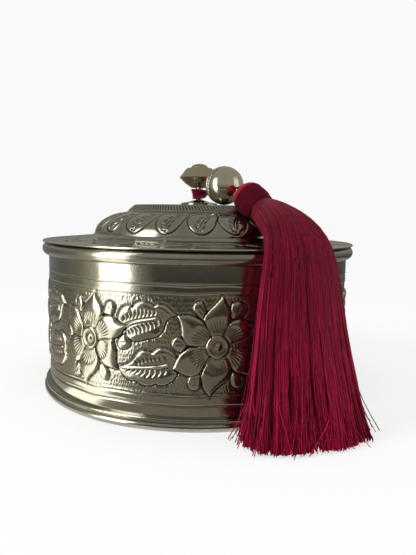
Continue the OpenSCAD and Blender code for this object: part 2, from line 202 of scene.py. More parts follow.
def line_distance(points, u, v):
    """Distance to an open line, and how far along it the nearest point lies, from 0 to 1."""
    nearest = np.full(u.shape, 1e9)
    along = np.zeros(u.shape)
    for i, ((ax, ay), (bx, by)) in enumerate(zip(points[:-1], points[1:])):
        dx, dy = bx - ax, by - ay
        share = np.clip(((u - ax) * dx + (v - ay) * dy) / max(dx * dx + dy * dy, 1e-12), 0, 1)
        away = (u - ax - share * dx) ** 2 + (v - ay - share * dy) ** 2
        closer = away < nearest
        nearest = np.where(closer, away, nearest)
        along = np.where(closer, (i + share) / (len(points) - 1), along)
    return np.sqrt(nearest), along


def turned_by(points, degrees):
    """Points in a plane, turned about its origin."""
    a = math.radians(degrees)
    points = np.asarray(points, float)
    return np.stack([points[:, 0] * math.cos(a) - points[:, 1] * math.sin(a),
                     points[:, 0] * math.sin(a) + points[:, 1] * math.cos(a)], 1)


def blurred(field, times):
    """A field that is periodic across its columns, smoothed."""
    for _ in range(times):
        field = (field + np.roll(field, 1, 1) + np.roll(field, -1, 1)) / 3
        padded = np.concatenate([field[:1], field, field[-1:]])
        field = (padded[:-2] + padded[1:-1] + padded[2:]) / 3
    return field


# ---------------------------------------------------------------- meshes


def mesh_object(name, points, faces, corner_normals=None, **attributes):
    """A mesh object from points in millimetres and faces of 3 or 4 or more corners."""
    mesh = bpy.data.meshes.new(name)
    mesh.vertices.add(len(points))
    mesh.vertices.foreach_set("co", (np.asarray(points) * MM).astype(np.float32).ravel())
    corners = np.concatenate([np.asarray(group).ravel() for group in faces])
    sizes = np.concatenate([np.full(len(group), np.shape(group)[1]) for group in faces])
    mesh.loops.add(len(corners))
    mesh.loops.foreach_set("vertex_index", corners.astype(np.int32))
    mesh.polygons.add(len(sizes))
    starts = np.concatenate([[0], np.cumsum(sizes)[:-1]])
    mesh.polygons.foreach_set("loop_start", starts.astype(np.int32))
    for key, values in attributes.items():
        layer = mesh.attributes.new(key, "FLOAT", "POINT")
        layer.data.foreach_set("value", np.asarray(values, np.float32).ravel())
    mesh.update(calc_edges=True)
    mesh.validate()
    mesh.shade_smooth()
    if corner_normals is not None:
        mesh.set_sharp_from_angle(angle=math.radians(70))
        mesh.normals_split_custom_set(corner_normals)
    piece = bpy.data.objects.new(name, mesh)
    bpy.context.scene.collection.objects.link(piece)
    return piece


def turned_points(radii, heights, angles):
    """A grid of points from a profile, one column at each angle about the Z axis."""
    radii, heights = np.atleast_2d(radii.T).T, np.atleast_2d(heights.T).T
    shape = np.broadcast_shapes(radii.shape, heights.shape, (1, len(angles)))
    return np.stack([radii * np.sin(angles) * np.ones(shape), -radii * np.cos(angles) * np.ones(shape),
                     heights * np.ones(shape)], -1)


def grid_normals(grid):
    """Outward normals of a grid that is periodic across its columns."""
    down = np.gradient(grid, axis=0)
    across = np.roll(grid, -1, 1) - np.roll(grid, 1, 1)
    normals = np.cross(across, down)
    return normals / np.maximum(np.linalg.norm(normals, axis=-1, keepdims=True), 1e-12)


def turned_relief(name, grid, back, hollow, sectors, material):
    """Closed sectors of a turned sheet, from its relief grid and the profile of its back.

    The grid's rows run up the outside and the back's points run down the inside. Each
    sector has its own normals from the whole grid, so that the joints don't show.
    """
    rows, columns = grid.shape[:2]
    angles = np.arange(columns + 1) * 2 * math.pi / columns
    normals = grid_normals(grid)
    back_grid = turned_points(back[:, 0], back[:, 1], angles)
    pieces = []
    for k in range(sectors):
        first, last = k * columns // sectors, (k + 1) * columns // sectors
        take = np.arange(first, last + 1)
        front = grid[:, take % columns]
        points = np.concatenate([front, back_grid[:, take]])
        around, across = points.shape[:2]
        index = np.arange(around * across).reshape(around, across)
        below, above = index, np.roll(index, -1, 0)
        quads = np.stack([below[:, :-1], below[:, 1:], above[:, 1:], above[:, :-1]], -1)
        ends = [index[::-1, 0][None], index[:, -1][None]]
        corners = np.zeros(quads.shape + (3,))
        part = normals[:, take % columns]
        corners[:rows - 1] = np.stack([part[:-1, :-1], part[:-1, 1:], part[1:, 1:], part[1:, :-1]], 2)
        flat = points.reshape(-1, 3)
        rest = flat[quads[rows - 1:]]
        face = np.cross(rest[..., 1, :] - rest[..., 0, :], rest[..., 2, :] - rest[..., 0, :])
        face /= np.maximum(np.linalg.norm(face, axis=-1, keepdims=True), 1e-12)
        corners[rows - 1:] = face[..., None, :]
        end_normals = []
        for column, side in ((take[0], -1), (take[-1], 1)):
            a = angles[column]
            end_normals.append(np.tile([side * math.cos(a), side * math.sin(a), 0], (around, 1)))
        values = np.concatenate([hollow[:, take % columns], np.zeros((len(back), across))])
        piece = mesh_object(f"{name}_{k + 1}", flat, [quads.reshape(-1, 4), *ends],
                            np.concatenate([corners.reshape(-1, 3), *end_normals]), hollow=values)
        piece.data.materials.append(material)
        pieces.append(piece)
    return pieces


def turned_shell(name, profile, columns, material, place=None, wobble=None, hollow=None):
    """A closed ring of a turned sheet. The profile runs round its section, outside first."""
    angles = np.arange(columns) * 2 * math.pi / columns
    grid = turned_points(profile[:, 0], profile[:, 1], angles)
    if wobble is not None:
        grid = wobble(grid, angles)
    rows = len(profile)
    index = np.arange(rows * columns).reshape(rows, columns)
    above, right = np.roll(index, -1, 0), np.roll(index, -1, 1)
    quads = np.stack([index, right, np.roll(above, -1, 1), above], -1).reshape(-1, 4)
    flat = grid.reshape(-1, 3)
    if place is not None:
        flat = place(flat)
    values = np.zeros(len(flat)) if hollow is None else hollow.ravel()
    piece = mesh_object(name, flat, [quads], hollow=values)
    piece.data.materials.append(material)
    return piece


# ---------------------------------------------------------------- threads


def thread_tree():
    """Geometry Nodes that turn lines into tubes as thick as their points say."""
    tree = bpy.data.node_groups.get("Threads")
    if tree:
        return tree
    tree = bpy.data.node_groups.new("Threads", "GeometryNodeTree")
    face = tree.interface
    face.new_socket("Geometry", in_out="INPUT", socket_type="NodeSocketGeometry")
    sides = face.new_socket("Sides", in_out="INPUT", socket_type="NodeSocketInt")
    sides.default_value, sides.min_value = 3, 3
    radius = face.new_socket("Radius", in_out="INPUT", socket_type="NodeSocketFloat")
    radius.default_value = 0.3 * MM
    face.new_socket("Material", in_out="INPUT", socket_type="NodeSocketMaterial")
    face.new_socket("Geometry", in_out="OUTPUT", socket_type="NodeSocketGeometry")
    nodes, links = tree.nodes, tree.links
    start, end = nodes.new("NodeGroupInput"), nodes.new("NodeGroupOutput")
    to_curve = nodes.new("GeometryNodeMeshToCurve")
    thick = nodes.new("GeometryNodeInputNamedAttribute")
    thick.data_type = "FLOAT"
    thick.inputs["Name"].default_value = "thick"
    product = nodes.new("ShaderNodeMath")
    product.operation = "MULTIPLY"
    set_radius = nodes.new("GeometryNodeSetCurveRadius")
    circle = nodes.new("GeometryNodeCurvePrimitiveCircle")
    circle.inputs["Radius"].default_value = 1.0
    tube = nodes.new("GeometryNodeCurveToMesh")
    tube.inputs["Fill Caps"].default_value = True
    smooth = nodes.new("GeometryNodeSetShadeSmooth")
    real = nodes.new("GeometryNodeRealizeInstances")
    dress = nodes.new("GeometryNodeSetMaterial")
    links.new(start.outputs["Geometry"], to_curve.inputs["Mesh"])
    links.new(thick.outputs["Attribute"], product.inputs[0])
    links.new(start.outputs["Radius"], product.inputs[1])
    links.new(to_curve.outputs["Curve"], set_radius.inputs["Curve"])
    links.new(product.outputs[0], set_radius.inputs["Radius"])
    links.new(set_radius.outputs["Curve"], tube.inputs["Curve"])
    links.new(start.outputs["Sides"], circle.inputs["Resolution"])
    links.new(circle.outputs["Curve"], tube.inputs["Profile Curve"])
    if "Scale" in tube.inputs:
        links.new(product.outputs[0], tube.inputs["Scale"])
    links.new(tube.outputs["Mesh"], smooth.inputs["Geometry"])
    links.new(smooth.outputs["Geometry"], real.inputs["Geometry"])
    links.new(real.outputs["Geometry"], dress.inputs["Geometry"])
    links.new(start.outputs["Material"], dress.inputs["Material"])
    links.new(dress.outputs["Geometry"], end.inputs["Geometry"])
    return tree


def threads(name, lines, thick, shade, radius, sides, material):
    """One mesh of tubes along lines of points in millimetres, all with as many points.

    thick scales the radius at each point, and shade is kept for the material.
    """
    count, points = lines.shape[:2]
    index = np.arange(count * points).reshape(count, points)
    edges = np.stack([index[:, :-1], index[:, 1:]], -1).reshape(-1, 2)
    mesh = bpy.data.meshes.new(name)
    mesh.vertices.add(count * points)
    mesh.vertices.foreach_set("co", (lines * MM).astype(np.float32).ravel())
    mesh.edges.add(len(edges))
    mesh.edges.foreach_set("vertices", edges.astype(np.int32).ravel())
    for key, values in (("thick", thick), ("shade", shade)):
        layer = mesh.attributes.new(key, "FLOAT", "POINT")
        layer.data.foreach_set(
            "value", np.broadcast_to(values, (count, points)).astype(np.float32).ravel())
    piece = bpy.data.objects.new(name, mesh)
    bpy.context.scene.collection.objects.link(piece)
    tree = thread_tree()
    modifier = piece.modifiers.new("Threads", "NODES")
    modifier.node_group = tree
    wanted = {"Sides": sides, "Radius": radius, "Material": material}
    for item in tree.interface.items_tree:
        if item.in_out == "INPUT" and item.name in wanted:
            modifier[item.identifier] = wanted[item.name]
    view = bpy.context.evaluated_depsgraph_get()
    made = bpy.data.meshes.new_from_object(piece.evaluated_get(view), depsgraph=view)
    piece.modifiers.remove(modifier)
    piece.data = made
    made.name = name
    bpy.data.meshes.remove(mesh)
    if not made.polygons:
        raise RuntimeError(f"{name} has no threads")
    return piece


def join(name, pieces):
    """Several objects as one."""
    bpy.ops.object.select_all(action="DESELECT")
    for piece in pieces:
        piece.select_set(True)
    bpy.context.view_layer.objects.active = pieces[0]
    bpy.ops.object.join()
    pieces[0].name = name
    return pieces[0]


# ---------------------------------------------------------------- materials


def link(tree, value, socket):
    """Sets a socket to a value, or joins it to another node's output."""
    if isinstance(value, bpy.types.NodeSocket):
        tree.links.new(value, socket)
    else:
        socket.default_value = value


def add(tree, kind, inputs, **settings):
    """A new node, with its inputs set or joined."""
    node = tree.nodes.new(kind)
    for key, value in settings.items():
        setattr(node, key, value)
    for key, value in inputs.items():
        link(tree, value, node.inputs[key])
    return node


def math_node(tree, operation, a, b=0.0, clamp=False):
    """The outcome of one sum."""
    return add(tree, "ShaderNodeMath", {0: a, 1: b}, operation=operation, use_clamp=clamp).outputs[0]


def mixed(tree, share, a, b, blend="MIX"):
    """A colour between a and b."""
    node = add(tree, "ShaderNodeMix", {}, data_type="RGBA", blend_type=blend)
    link(tree, share, node.inputs[0])
    link(tree, a, node.inputs[6])
    link(tree, b, node.inputs[7])
    return node.outputs[2]


def noise(tree, where, scale, detail=3.0, roughness=0.5):
    """Noise with scale features in a metre."""
    return add(tree, "ShaderNodeTexNoise",
               {"Vector": where, "Scale": scale, "Detail": detail, "Roughness": roughness}).outputs[0]


def spread(tree, value, low, high, to_low=0.0, to_high=1.0):
    """A value stretched from one range to another, and held within it."""
    return add(tree, "ShaderNodeMapRange",
               {"Value": value, "From Min": low, "From Max": high, "To Min": to_low, "To Max": to_high}
               ).outputs[0]


def attribute(tree, name):
    """A value that the mesh keeps at its points."""
    return add(tree, "ShaderNodeAttribute", {}, attribute_name=name).outputs["Fac"]


def new_material(name):
    """A material, its tree, its surface and its place in the object; only the first if it was there."""
    material = bpy.data.materials.get(name)
    if material:
        return material, None, None, None
    material = bpy.data.materials.new(name)
    material.use_nodes = True
    tree = material.node_tree
    where = tree.nodes.new("ShaderNodeTexCoord").outputs["Object"]
    return material, tree, tree.nodes["Principled BSDF"], where


def opaque(colour):
    """A colour as four numbers."""
    return (*colour, 1.0)


def worked_metal(name, colour, patina_and_shade, roughness, dents=0.12, stain=0.35, turned=0.0):
    """Hand-worked metal: stained in patches, with patina and painted shade in its hollows, and wear and a
    painted highlight on its edges.
    """
    material, tree, surface, where = new_material(name)
    if tree is None:
        return material
    patches = noise(tree, where, 38.0, 6.0, 0.62)
    specks = noise(tree, where, 420.0, 4.0, 0.7)
    # The hollow attribute darkens hollows with patina and partly painted shade, and where it is below 0
    # lightens high edges with wear and a painted highlight.
    depth = attribute(tree, "hollow")
    hollow = math_node(tree, "MAXIMUM", depth, 0.0)
    wear_and_highlight = math_node(tree, "MULTIPLY", depth, -1.0, clamp=True)
    dirt = math_node(tree, "MULTIPLY", spread(tree, patches, 0.42, 0.78), stain)
    fine_dirt = math_node(tree, "MULTIPLY", spread(tree, specks, 0.55, 0.8), stain * 0.6)
    dark = math_node(tree, "ADD", math_node(tree, "ADD", dirt, fine_dirt), hollow, clamp=True)
    warm = mixed(tree, spread(tree, noise(tree, where, 16.0, 2.0), 0.4, 0.65),
                 opaque(colour), opaque([colour[0] * 1.02, colour[1] * 0.97, colour[2] * 0.86]))
    # Painted highlight and wear: high edges lighter, towards a brighter copy of the colour
    bright = mixed(tree, wear_and_highlight, warm, opaque([min(1.0, c * 1.7) for c in colour]))
    link(tree, mixed(tree, dark, bright, opaque(patina_and_shade)), surface.inputs["Base Color"])
    surface.inputs["Metallic"].default_value = 1.0
    rough = math_node(tree, "ADD", spread(tree, patches, 0.3, 0.75, roughness - 0.05, roughness + 0.1),
                      math_node(tree, "MULTIPLY", hollow, 0.25), clamp=True)
    link(tree, rough, surface.inputs["Roughness"])
    waves = add(tree, "ShaderNodeBump",
                {"Strength": dents, "Distance": 0.6 * MM, "Height": noise(tree, where, 95.0, 2.0)})
    grain = add(tree, "ShaderNodeBump",
                {"Strength": 0.3, "Distance": (0.05 + 0.5 * dents) * MM, "Height": specks,
                 "Normal": waves.outputs[0]})
    if turned:
        rings = add(tree, "ShaderNodeTexWave", {"Vector": where, "Scale": 130.0, "Distortion": 1.2},
                    wave_type="BANDS", bands_direction="Z")
        grain = add(tree, "ShaderNodeBump", {"Strength": turned, "Distance": 0.3 * MM,
                                             "Height": rings.outputs["Fac"], "Normal": grain.outputs[0]})
    link(tree, grain.outputs[0], surface.inputs["Normal"])
    return material


def silk(name, light, dark, roughness, sheen, patchy=0.12):
    """Silk thread: each thread has its own shade, and the whole is a little patchy."""
    material, tree, surface, where = new_material(name)
    if tree is None:
        return material
    shade = attribute(tree, "shade")
    mottle = spread(tree, noise(tree, where, 90.0, 3.0), 0.35, 0.7, -patchy, patchy)
    share = math_node(tree, "ADD", shade, mottle, clamp=True)
    link(tree, mixed(tree, share, opaque(dark), opaque(light)), surface.inputs["Base Color"])
    surface.inputs["Roughness"].default_value = roughness
    surface.inputs["Specular IOR Level"].default_value = 0.13
    surface.inputs["Sheen Weight"].default_value = sheen
    surface.inputs["Sheen Roughness"].default_value = 0.4
    surface.inputs["Sheen Tint"].default_value = opaque((1.0, 0.2, 0.3))
    return material


def bare_wood():
    """The turned wood in the tassel's head, with its grain along Z."""
    material, tree, surface, where = new_material("bare_wood")
    if tree is None:
        return material
    stretched = add(tree, "ShaderNodeMapping", {"Vector": where, "Scale": (300.0, 300.0, 30.0)})
    grain = noise(tree, stretched.outputs[0], 2.0, 5.0)
    link(tree, mixed(tree, grain, opaque((0.33, 0.2, 0.1)), opaque((0.6, 0.42, 0.25))),
         surface.inputs["Base Color"])
    surface.inputs["Roughness"].default_value = 0.6
    return material


def tin_material():
    """The tinned sheet of drum and lid."""
    look = bpy.context.scene.sweet_box_metal
    return worked_metal("aged_tin", look.tin, look.patina_and_shade, 0.13)


# ---------------------------------------------------------------- the drum's ornament

BAND_LOW, BAND_HIGH = 9.2, 61.0       # heights that the relief sheet covers
BORDERS = (14.2, 56.0)                # heights of the chased lines that frame the ornament
LINES = (10.2, 60.0)                  # the outer line of each pair
ORNAMENT_Z = 35.1                     # height of the flowers' middles
BAND_COLUMNS, BAND_ROWS = 1520, 168   # points of the relief, round and up
FIRST_FLOWER = -36.7                  # azimuths of the two flowers in front
SECOND_FLOWER = 6.3

# The two flowers in front, across and up from their middles. A point that stands twice is a
# sharp tip. The later petals lie over the earlier ones.
LEFT_PETALS = (
    ((-2.2, 4.0), (-4.6, 8.0), (-5.1, 10.2), (-4.4, 12.5), (-2.8, 14.6), (-0.6, 16.2), (1.4, 18.0),
     (3.2, 20.2), (3.2, 20.2), (4.0, 18.4), (5.4, 16.4), (6.8, 14.6), (7.6, 12.6), (7.4, 10.6),
     (5.0, 6.0), (2.4, 3.4)),
    ((-4.0, 3.0), (-6.2, 9.0), (-8.4, 11.2), (-11.0, 12.3), (-14.0, 12.7), (-14.0, 12.7), (-14.3, 9.6),
     (-14.0, 5.4), (-12.9, 2.8), (-11.6, 0.9), (-10.2, -0.2), (-7.6, -0.6), (-4.0, -0.4)),
    ((-4.0, -0.6), (-7.6, -0.7), (-10.6, -0.4), (-12.6, -1.3), (-14.6, -2.9), (-16.4, -4.9),
     (-18.6, -7.9), (-18.6, -7.9), (-16.4, -8.1), (-14.4, -9.0), (-12.8, -10.4), (-11.0, -11.6),
     (-9.2, -12.0), (-7.4, -11.4), (-5.6, -9.6), (-4.2, -7.0), (-2.6, -4.0)),
    ((3.6, -3.4), (4.6, -6.6), (5.8, -8.4), (7.4, -10.0), (9.4, -11.1), (12.0, -11.8), (15.2, -12.1),
     (15.2, -12.1), (14.5, -9.8), (14.3, -7.0), (14.4, -4.6), (14.0, -2.6), (13.3, -0.8), (12.4, 1.0),
     (8.0, 0.6), (4.4, -0.6)),
    ((4.2, -0.4), (6.8, 0.4), (9.4, 0.9), (12.4, 0.9), (14.6, 1.7), (16.4, 3.3), (17.9, 5.0), (19.8, 7.1),
     (19.8, 7.1), (17.2, 7.7), (15.2, 8.6), (13.6, 9.9), (11.8, 10.5), (9.4, 10.6), (7.2, 10.1),
     (5.6, 8.6), (4.2, 6.6), (2.6, 4.0)),
    ((-2.8, -3.8), (-4.8, -8.4), (-6.4, -11.2), (-6.6, -13.4), (-5.9, -15.6), (-4.6, -17.6),
     (-2.4, -20.2), (-2.4, -20.2), (-1.1, -18.4), (0.6, -16.5), (2.6, -14.9), (4.2, -13.2), (5.1, -11.2),
     (5.1, -8.8), (4.0, -6.2), (2.4, -3.8)))
LEFT_BUDS = (
    ((7.9, 11.6), (8.0, 14.2), (9.2, 16.2), (11.0, 16.9), (12.8, 16.5), (13.8, 15.0), (13.6, 12.9),
     (12.0, 11.0)),
    ((-5.0, 10.4), (-4.2, 12.8), (-4.3, 15.2), (-5.4, 17.0), (-7.0, 17.6), (-8.4, 16.6), (-9.1, 14.2),
     (-8.6, 11.8)),
    ((-11.6, 2.4), (-13.4, 3.7), (-15.6, 3.8), (-17.2, 2.4), (-17.4, 0.4), (-15.8, -1.2), (-13.4, -1.5),
     (-11.4, 0.0)),
    ((-6.0, -12.0), (-5.8, -15.0), (-6.6, -17.4), (-8.4, -18.2), (-10.0, -17.2), (-10.6, -15.0),
     (-9.8, -12.6)),
    ((5.2, -11.2), (7.0, -10.5), (9.2, -11.6), (10.8, -13.8), (10.4, -16.0), (9.0, -17.3), (7.0, -16.6),
     (5.3, -14.6)),
    ((15.2, 1.0), (16.6, 2.6), (18.4, 3.5), (20.4, 2.0), (21.4, 0.0), (20.4, -2.0), (18.4, -2.9),
     (16.2, -2.6), (15.0, -1.0)))
RIGHT_PETALS = (
    ((-2.4, 4.0), (-4.9, 8.8), (-6.0, 10.9), (-5.4, 12.8), (-3.9, 14.6), (-1.8, 16.6), (0.2, 18.8),
     (1.8, 20.9), (1.8, 20.9), (3.0, 18.6), (4.3, 16.2), (5.2, 14.0), (5.1, 11.6), (4.2, 8.4), (2.4, 3.6)),
    ((5.0, -0.6), (8.6, -1.0), (11.6, -1.2), (14.2, -3.2), (15.2, -6.6), (16.8, -12.6), (16.8, -12.6),
     (13.4, -12.2), (10.0, -11.4), (7.6, -10.6), (6.0, -9.0), (4.6, -6.8), (2.6, -3.8)),
    ((-2.8, 4.2), (-5.0, 8.6), (-6.4, 10.6), (-8.6, 11.9), (-10.8, 12.8), (-13.2, 13.1), (-16.6, 12.5),
     (-16.6, 12.5), (-15.4, 10.0), (-14.9, 7.4), (-14.7, 5.0), (-14.0, 2.9), (-12.6, 0.9), (-10.4, 0.2),
     (-7.4, 0.1), (-4.0, 0.3)),
    ((2.4, 4.0), (3.4, 6.6), (4.5, 9.0), (6.2, 10.6), (8.4, 11.3), (10.8, 11.1), (13.6, 9.6), (18.0, 9.4),
     (18.0, 9.4), (15.0, 6.2), (12.6, 4.2), (10.4, 2.9), (8.0, 2.4), (4.4, 1.2)),
    ((-4.2, -0.2), (-8.0, -0.2), (-11.2, -0.4), (-13.6, -1.8), (-15.6, -3.6), (-16.9, -5.9),
     (-18.4, -9.6), (-18.4, -9.6), (-16.4, -10.3), (-14.6, -11.3), (-12.4, -12.1), (-10.2, -12.2),
     (-8.2, -11.5), (-6.4, -10.2), (-4.8, -7.8), (-3.0, -4.0)),
    ((-2.8, -4.2), (-4.8, -8.0), (-6.2, -10.4), (-6.5, -13.0), (-6.1, -15.6), (-5.0, -18.2),
     (-2.9, -21.0), (-2.9, -21.0), (-1.8, -19.2), (-0.4, -17.5), (1.6, -15.9), (3.8, -14.2), (5.3, -12.2),
     (5.9, -9.8), (5.2, -7.4), (2.8, -3.8)))
RIGHT_BUDS = (
    ((-6.2, 10.8), (-8.2, 12.6), (-9.9, 14.8), (-10.0, 17.0), (-7.2, 18.9), (-5.6, 17.0), (-4.9, 14.6),
     (-5.5, 12.0)),
    ((5.3, 12.0), (5.1, 15.4), (6.0, 17.8), (8.6, 18.5), (11.2, 17.5), (12.1, 15.2), (10.8, 12.6),
     (7.8, 11.6)),
    ((-12.4, 0.6), (-13.8, 2.6), (-16.2, 3.8), (-18.2, 2.6), (-18.8, 0.6), (-17.4, -1.6), (-14.8, -2.2)),
    ((-6.8, -11.4), (-6.6, -14.6), (-7.3, -17.0), (-9.0, -18.1), (-11.0, -17.6), (-12.0, -15.4),
     (-11.2, -12.4)),
    ((6.4, -10.8), (5.7, -13.4), (6.3, -16.0), (8.2, -17.4), (10.2, -16.6), (10.9, -14.2), (9.8, -11.6)),
    ((15.0, -1.4), (16.2, -3.6), (18.6, -4.2), (20.6, -2.6), (20.8, 0.2), (19.0, 2.2), (16.6, 1.8),
     (15.2, 0.4)))
FLOWERS = ((LEFT_PETALS, LEFT_BUDS), (RIGHT_PETALS, RIGHT_BUDS))
BOSS_R = 4.8

# The pair of lobed leaves between two flowers, from the middle between them: outline, rib
# and the graver's strokes on its two sides
UPPER_LEAF = ((-13.9, 10.4), (-13.5, 12.4), (-12.2, 14.3), (-10.2, 15.6), (-7.6, 15.9), (-7.0, 15.3),
              (-5.8, 16.7), (-3.8, 17.6), (-1.2, 17.9), (1.2, 17.3), (2.6, 16.3), (4.2, 17.0),
              (6.2, 17.1), (8.4, 16.1), (10.4, 14.2), (12.2, 12.6), (12.2, 12.6), (9.8, 11.9),
              (8.2, 10.4), (7.2, 8.4), (6.6, 6.4), (4.8, 4.1), (2.4, 3.0), (-0.6, 2.2), (-3.2, 1.3),
              (-5.8, 0.9), (-8.0, 1.6), (-9.6, 3.0), (-9.7, 5.2), (-9.5, 7.3), (-9.5, 7.3), (-11.4, 7.9),
              (-13.0, 8.9))
UPPER_RIB = ((-9.3, 7.3), (-6.5, 8.6), (-3.5, 9.5), (-0.5, 10.1), (2.0, 10.6), (4.0, 11.0), (5.0, 10.5),
             (5.3, 8.6))
UPPER_CUTS = ((-10.6, 9.2, -10.3, 11.5), (-8.9, 9.9, -8.5, 12.5), (-7.4, 10.4, -6.8, 13.5),
              (-5.8, 10.8, -5.0, 14.3), (-4.1, 11.1, -3.3, 14.7), (-2.4, 11.4, -1.6, 14.9),
              (-0.7, 11.7, -0.1, 14.8), (1.0, 11.9, 1.4, 14.6), (2.6, 12.1, 3.2, 14.4),
              (-8.7, 5.8, -7.6, 3.5), (-7.2, 6.4, -6.0, 4.1), (-5.7, 7.0, -4.0, 4.5),
              (-4.0, 7.8, -2.3, 5.1), (-2.1, 8.5, -0.6, 5.7), (-0.2, 9.0, 1.0, 6.2), (1.6, 9.5, 2.8, 6.7),
              (3.2, 10.0, 4.2, 7.5))
LOWER_LEAF = ((-13.3, -10.0), (-11.2, -9.7), (-9.2, -8.9), (-7.4, -7.6), (-6.0, -5.8), (-4.8, -4.0),
              (-3.4, -2.8), (-1.6, -2.4), (0.2, -2.5), (1.7, -3.1), (3.0, -2.1), (4.8, -1.1), (6.8, -0.8),
              (8.8, -1.3), (10.8, -2.7), (12.2, -4.6), (12.3, -7.2), (11.2, -9.6), (12.6, -11.2),
              (11.4, -13.6), (9.4, -15.5), (7.0, -16.6), (4.6, -16.7), (3.9, -16.1), (2.0, -17.0),
              (-0.4, -17.3), (-2.8, -16.9), (-4.6, -16.0), (-5.4, -15.6), (-7.4, -15.8), (-9.6, -14.9),
              (-11.6, -13.0), (-12.9, -11.4))
LOWER_RIB = ((-12.0, -10.2), (-9.0, -10.5), (-6.0, -10.2), (-3.0, -10.0), (0.0, -9.7), (3.0, -9.2),
             (6.0, -8.7), (8.6, -7.9))
LOWER_CUTS = ((-5.6, -7.0, -4.0, -9.1), (-4.2, -5.8, -2.4, -8.3), (-2.6, -5.0, -0.8, -7.7),
              (-0.8, -4.6, 0.8, -7.2), (1.0, -4.6, 2.4, -6.9), (2.6, -4.4, 4.0, -6.6),
              (4.4, -4.0, 5.8, -6.3), (6.4, -3.5, 8.2, -6.0), (-7.2, -10.8, -9.2, -11.9),
              (-5.2, -10.7, -7.2, -12.2), (-3.3, -10.6, -5.2, -12.6), (-1.4, -10.5, -2.9, -13.1),
              (0.7, -10.3, -0.5, -13.5), (3.0, -10.2, 1.9, -13.4), (5.2, -10.0, 4.4, -12.9),
              (7.4, -9.8, 7.0, -12.0))


def raised(old, depth, lift, soften=0.5, groove=0.26):
    """Ground pushed up inside an outline, with a rounded edge and a chased line round it."""
    inside = lift * (1 - np.exp(-np.maximum(depth, 0) / soften))
    return np.where(depth > 0, inside, old) - groove * np.exp(-((depth + 0.25) / 0.42) ** 2)


def cut(height, line, u, v, depth, width):
    """A tapered graver's stroke along a line."""
    away, along = line_distance(line, u, v)
    taper = np.sin(np.pi * np.clip(along, 0.04, 0.96)) ** 0.6
    return height - depth * taper * np.exp(-(away / (width * (0.5 + 0.5 * taper))) ** 2)


def paint_petal(height, u, v, outline, fan_bend):
    """A petal: smooth and full towards its tip, and finely scored in a fan near the boss."""
    depth = depth_inside(through(outline, 4, closed=True), u, v)
    out = np.hypot(u, v)
    full = 1 - np.exp(-np.maximum(depth, 0) / 1.9)
    shape = raised(height, depth, 0.45)
    shape += np.where(depth > 0, full * (0.08 + 0.7 * smoothstep(out, 8.5, 13.0)), 0)
    middle = np.mean(outline, 0)
    turn = math.degrees(math.atan2(middle[1], middle[0]))
    scored = shape
    for k in range(-4, 5):
        start, reach = 5.6 + 0.3 * (k % 2), 11.6 - 0.15 * k * k
        r = np.linspace(start, reach, 5)
        stroke = np.stack([r, fan_bend * (r - start) ** 2 * 0.03 + 0.016 * k * (r - start) ** 1.5], 1)
        scored = cut(scored, turned_by(stroke, turn + 6.3 * k), u, v, 0.34, 0.32)
    return np.where(depth > 0.45, scored, shape)


def paint_bud(height, u, v, outline):
    """A bud: a small pillow with a crease from the flower's side."""
    depth = depth_inside(through(outline, 4, closed=True), u, v)
    shape = raised(height, depth, 0.45)
    shape += np.where(depth > 0, 0.45 * (1 - np.exp(-np.maximum(depth, 0) / 1.3)), 0)
    middle = np.mean(outline, 0)
    outward = middle / np.linalg.norm(middle)
    crease = np.array([middle - 1.6 * outward, middle + 1.2 * outward])
    return np.where(depth > 0.3, cut(shape, crease, u, v, 0.22, 0.4), shape)


def paint_boss(height, u, v):
    """The round middle of a flower: a dished disc with a stud."""
    out = np.hypot(u, v)
    disc = 1.0 - 0.5 * np.exp(-((out - 2.5) / 1.2) ** 2) + 0.1 * smoothstep(out, 3.2, 4.0)
    disc += 0.5 * np.exp(-(out / 0.95) ** 2) - 0.12 * np.exp(-((out - 1.7) / 0.4) ** 2)
    edge = BOSS_R - out
    return np.where(edge > 0, disc * (1 - np.exp(-np.maximum(edge, 0) / 0.45)), height
                    - 0.3 * np.exp(-((edge + 0.15) / 0.32) ** 2))


def paint_leaf(height, u, v, outline, rib, strokes):
    """A lobed leaf that swells towards its edge, with strokes on both sides of its rib."""
    depth = depth_inside(through(outline, 4, closed=True), u, v)
    away, _ = line_distance(through(rib, 4), u, v)
    plain = raised(height, depth, 0.45)
    swell = 0.7 * smoothstep(away, 1.6, 5.5) * (1 - np.exp(-np.maximum(depth, 0) / 1.2))
    shape = plain + np.where(depth > 0, swell, 0)
    for x0, y0, x1, y1 in strokes:
        bow = np.array([(x0 + x1) / 2 + 0.25, (y0 + y1) / 2 + 0.1])
        shape = cut(shape, np.array([(x0, y0), bow, (x1, y1)]), u, v, 0.6, 0.42)
    shape += 0.4 * np.exp(-(away / 0.36) ** 2) - 0.25 * np.exp(-((away - 0.8) / 0.3) ** 2)
    return np.where(depth > 0.3, shape, plain)


def punched(u, v, seed, step_u=1.05, step_v=1.9):
    """Rows of short upright dashes, none quite in its place."""
    rng = np.random.default_rng(seed)
    table = rng.random((3, 64, 512))
    row = np.floor(v / step_v).astype(int)
    shifted = u + (row % 2) * step_u / 2
    column = np.floor(shifted / step_u).astype(int)
    r, c = row % 64, column % 512
    du = shifted - (column + 0.5 + 0.55 * (table[0, r, c] - 0.5)) * step_u
    dv = v - (row + 0.5 + 0.5 * (table[1, r, c] - 0.5)) * step_v
    du += 0.5 * (table[2, r, c] - 0.5) * dv
    return np.exp(-(du / 0.24) ** 2 - (dv / 0.72) ** 4) * (0.5 + 0.5 * table[2, r, c])


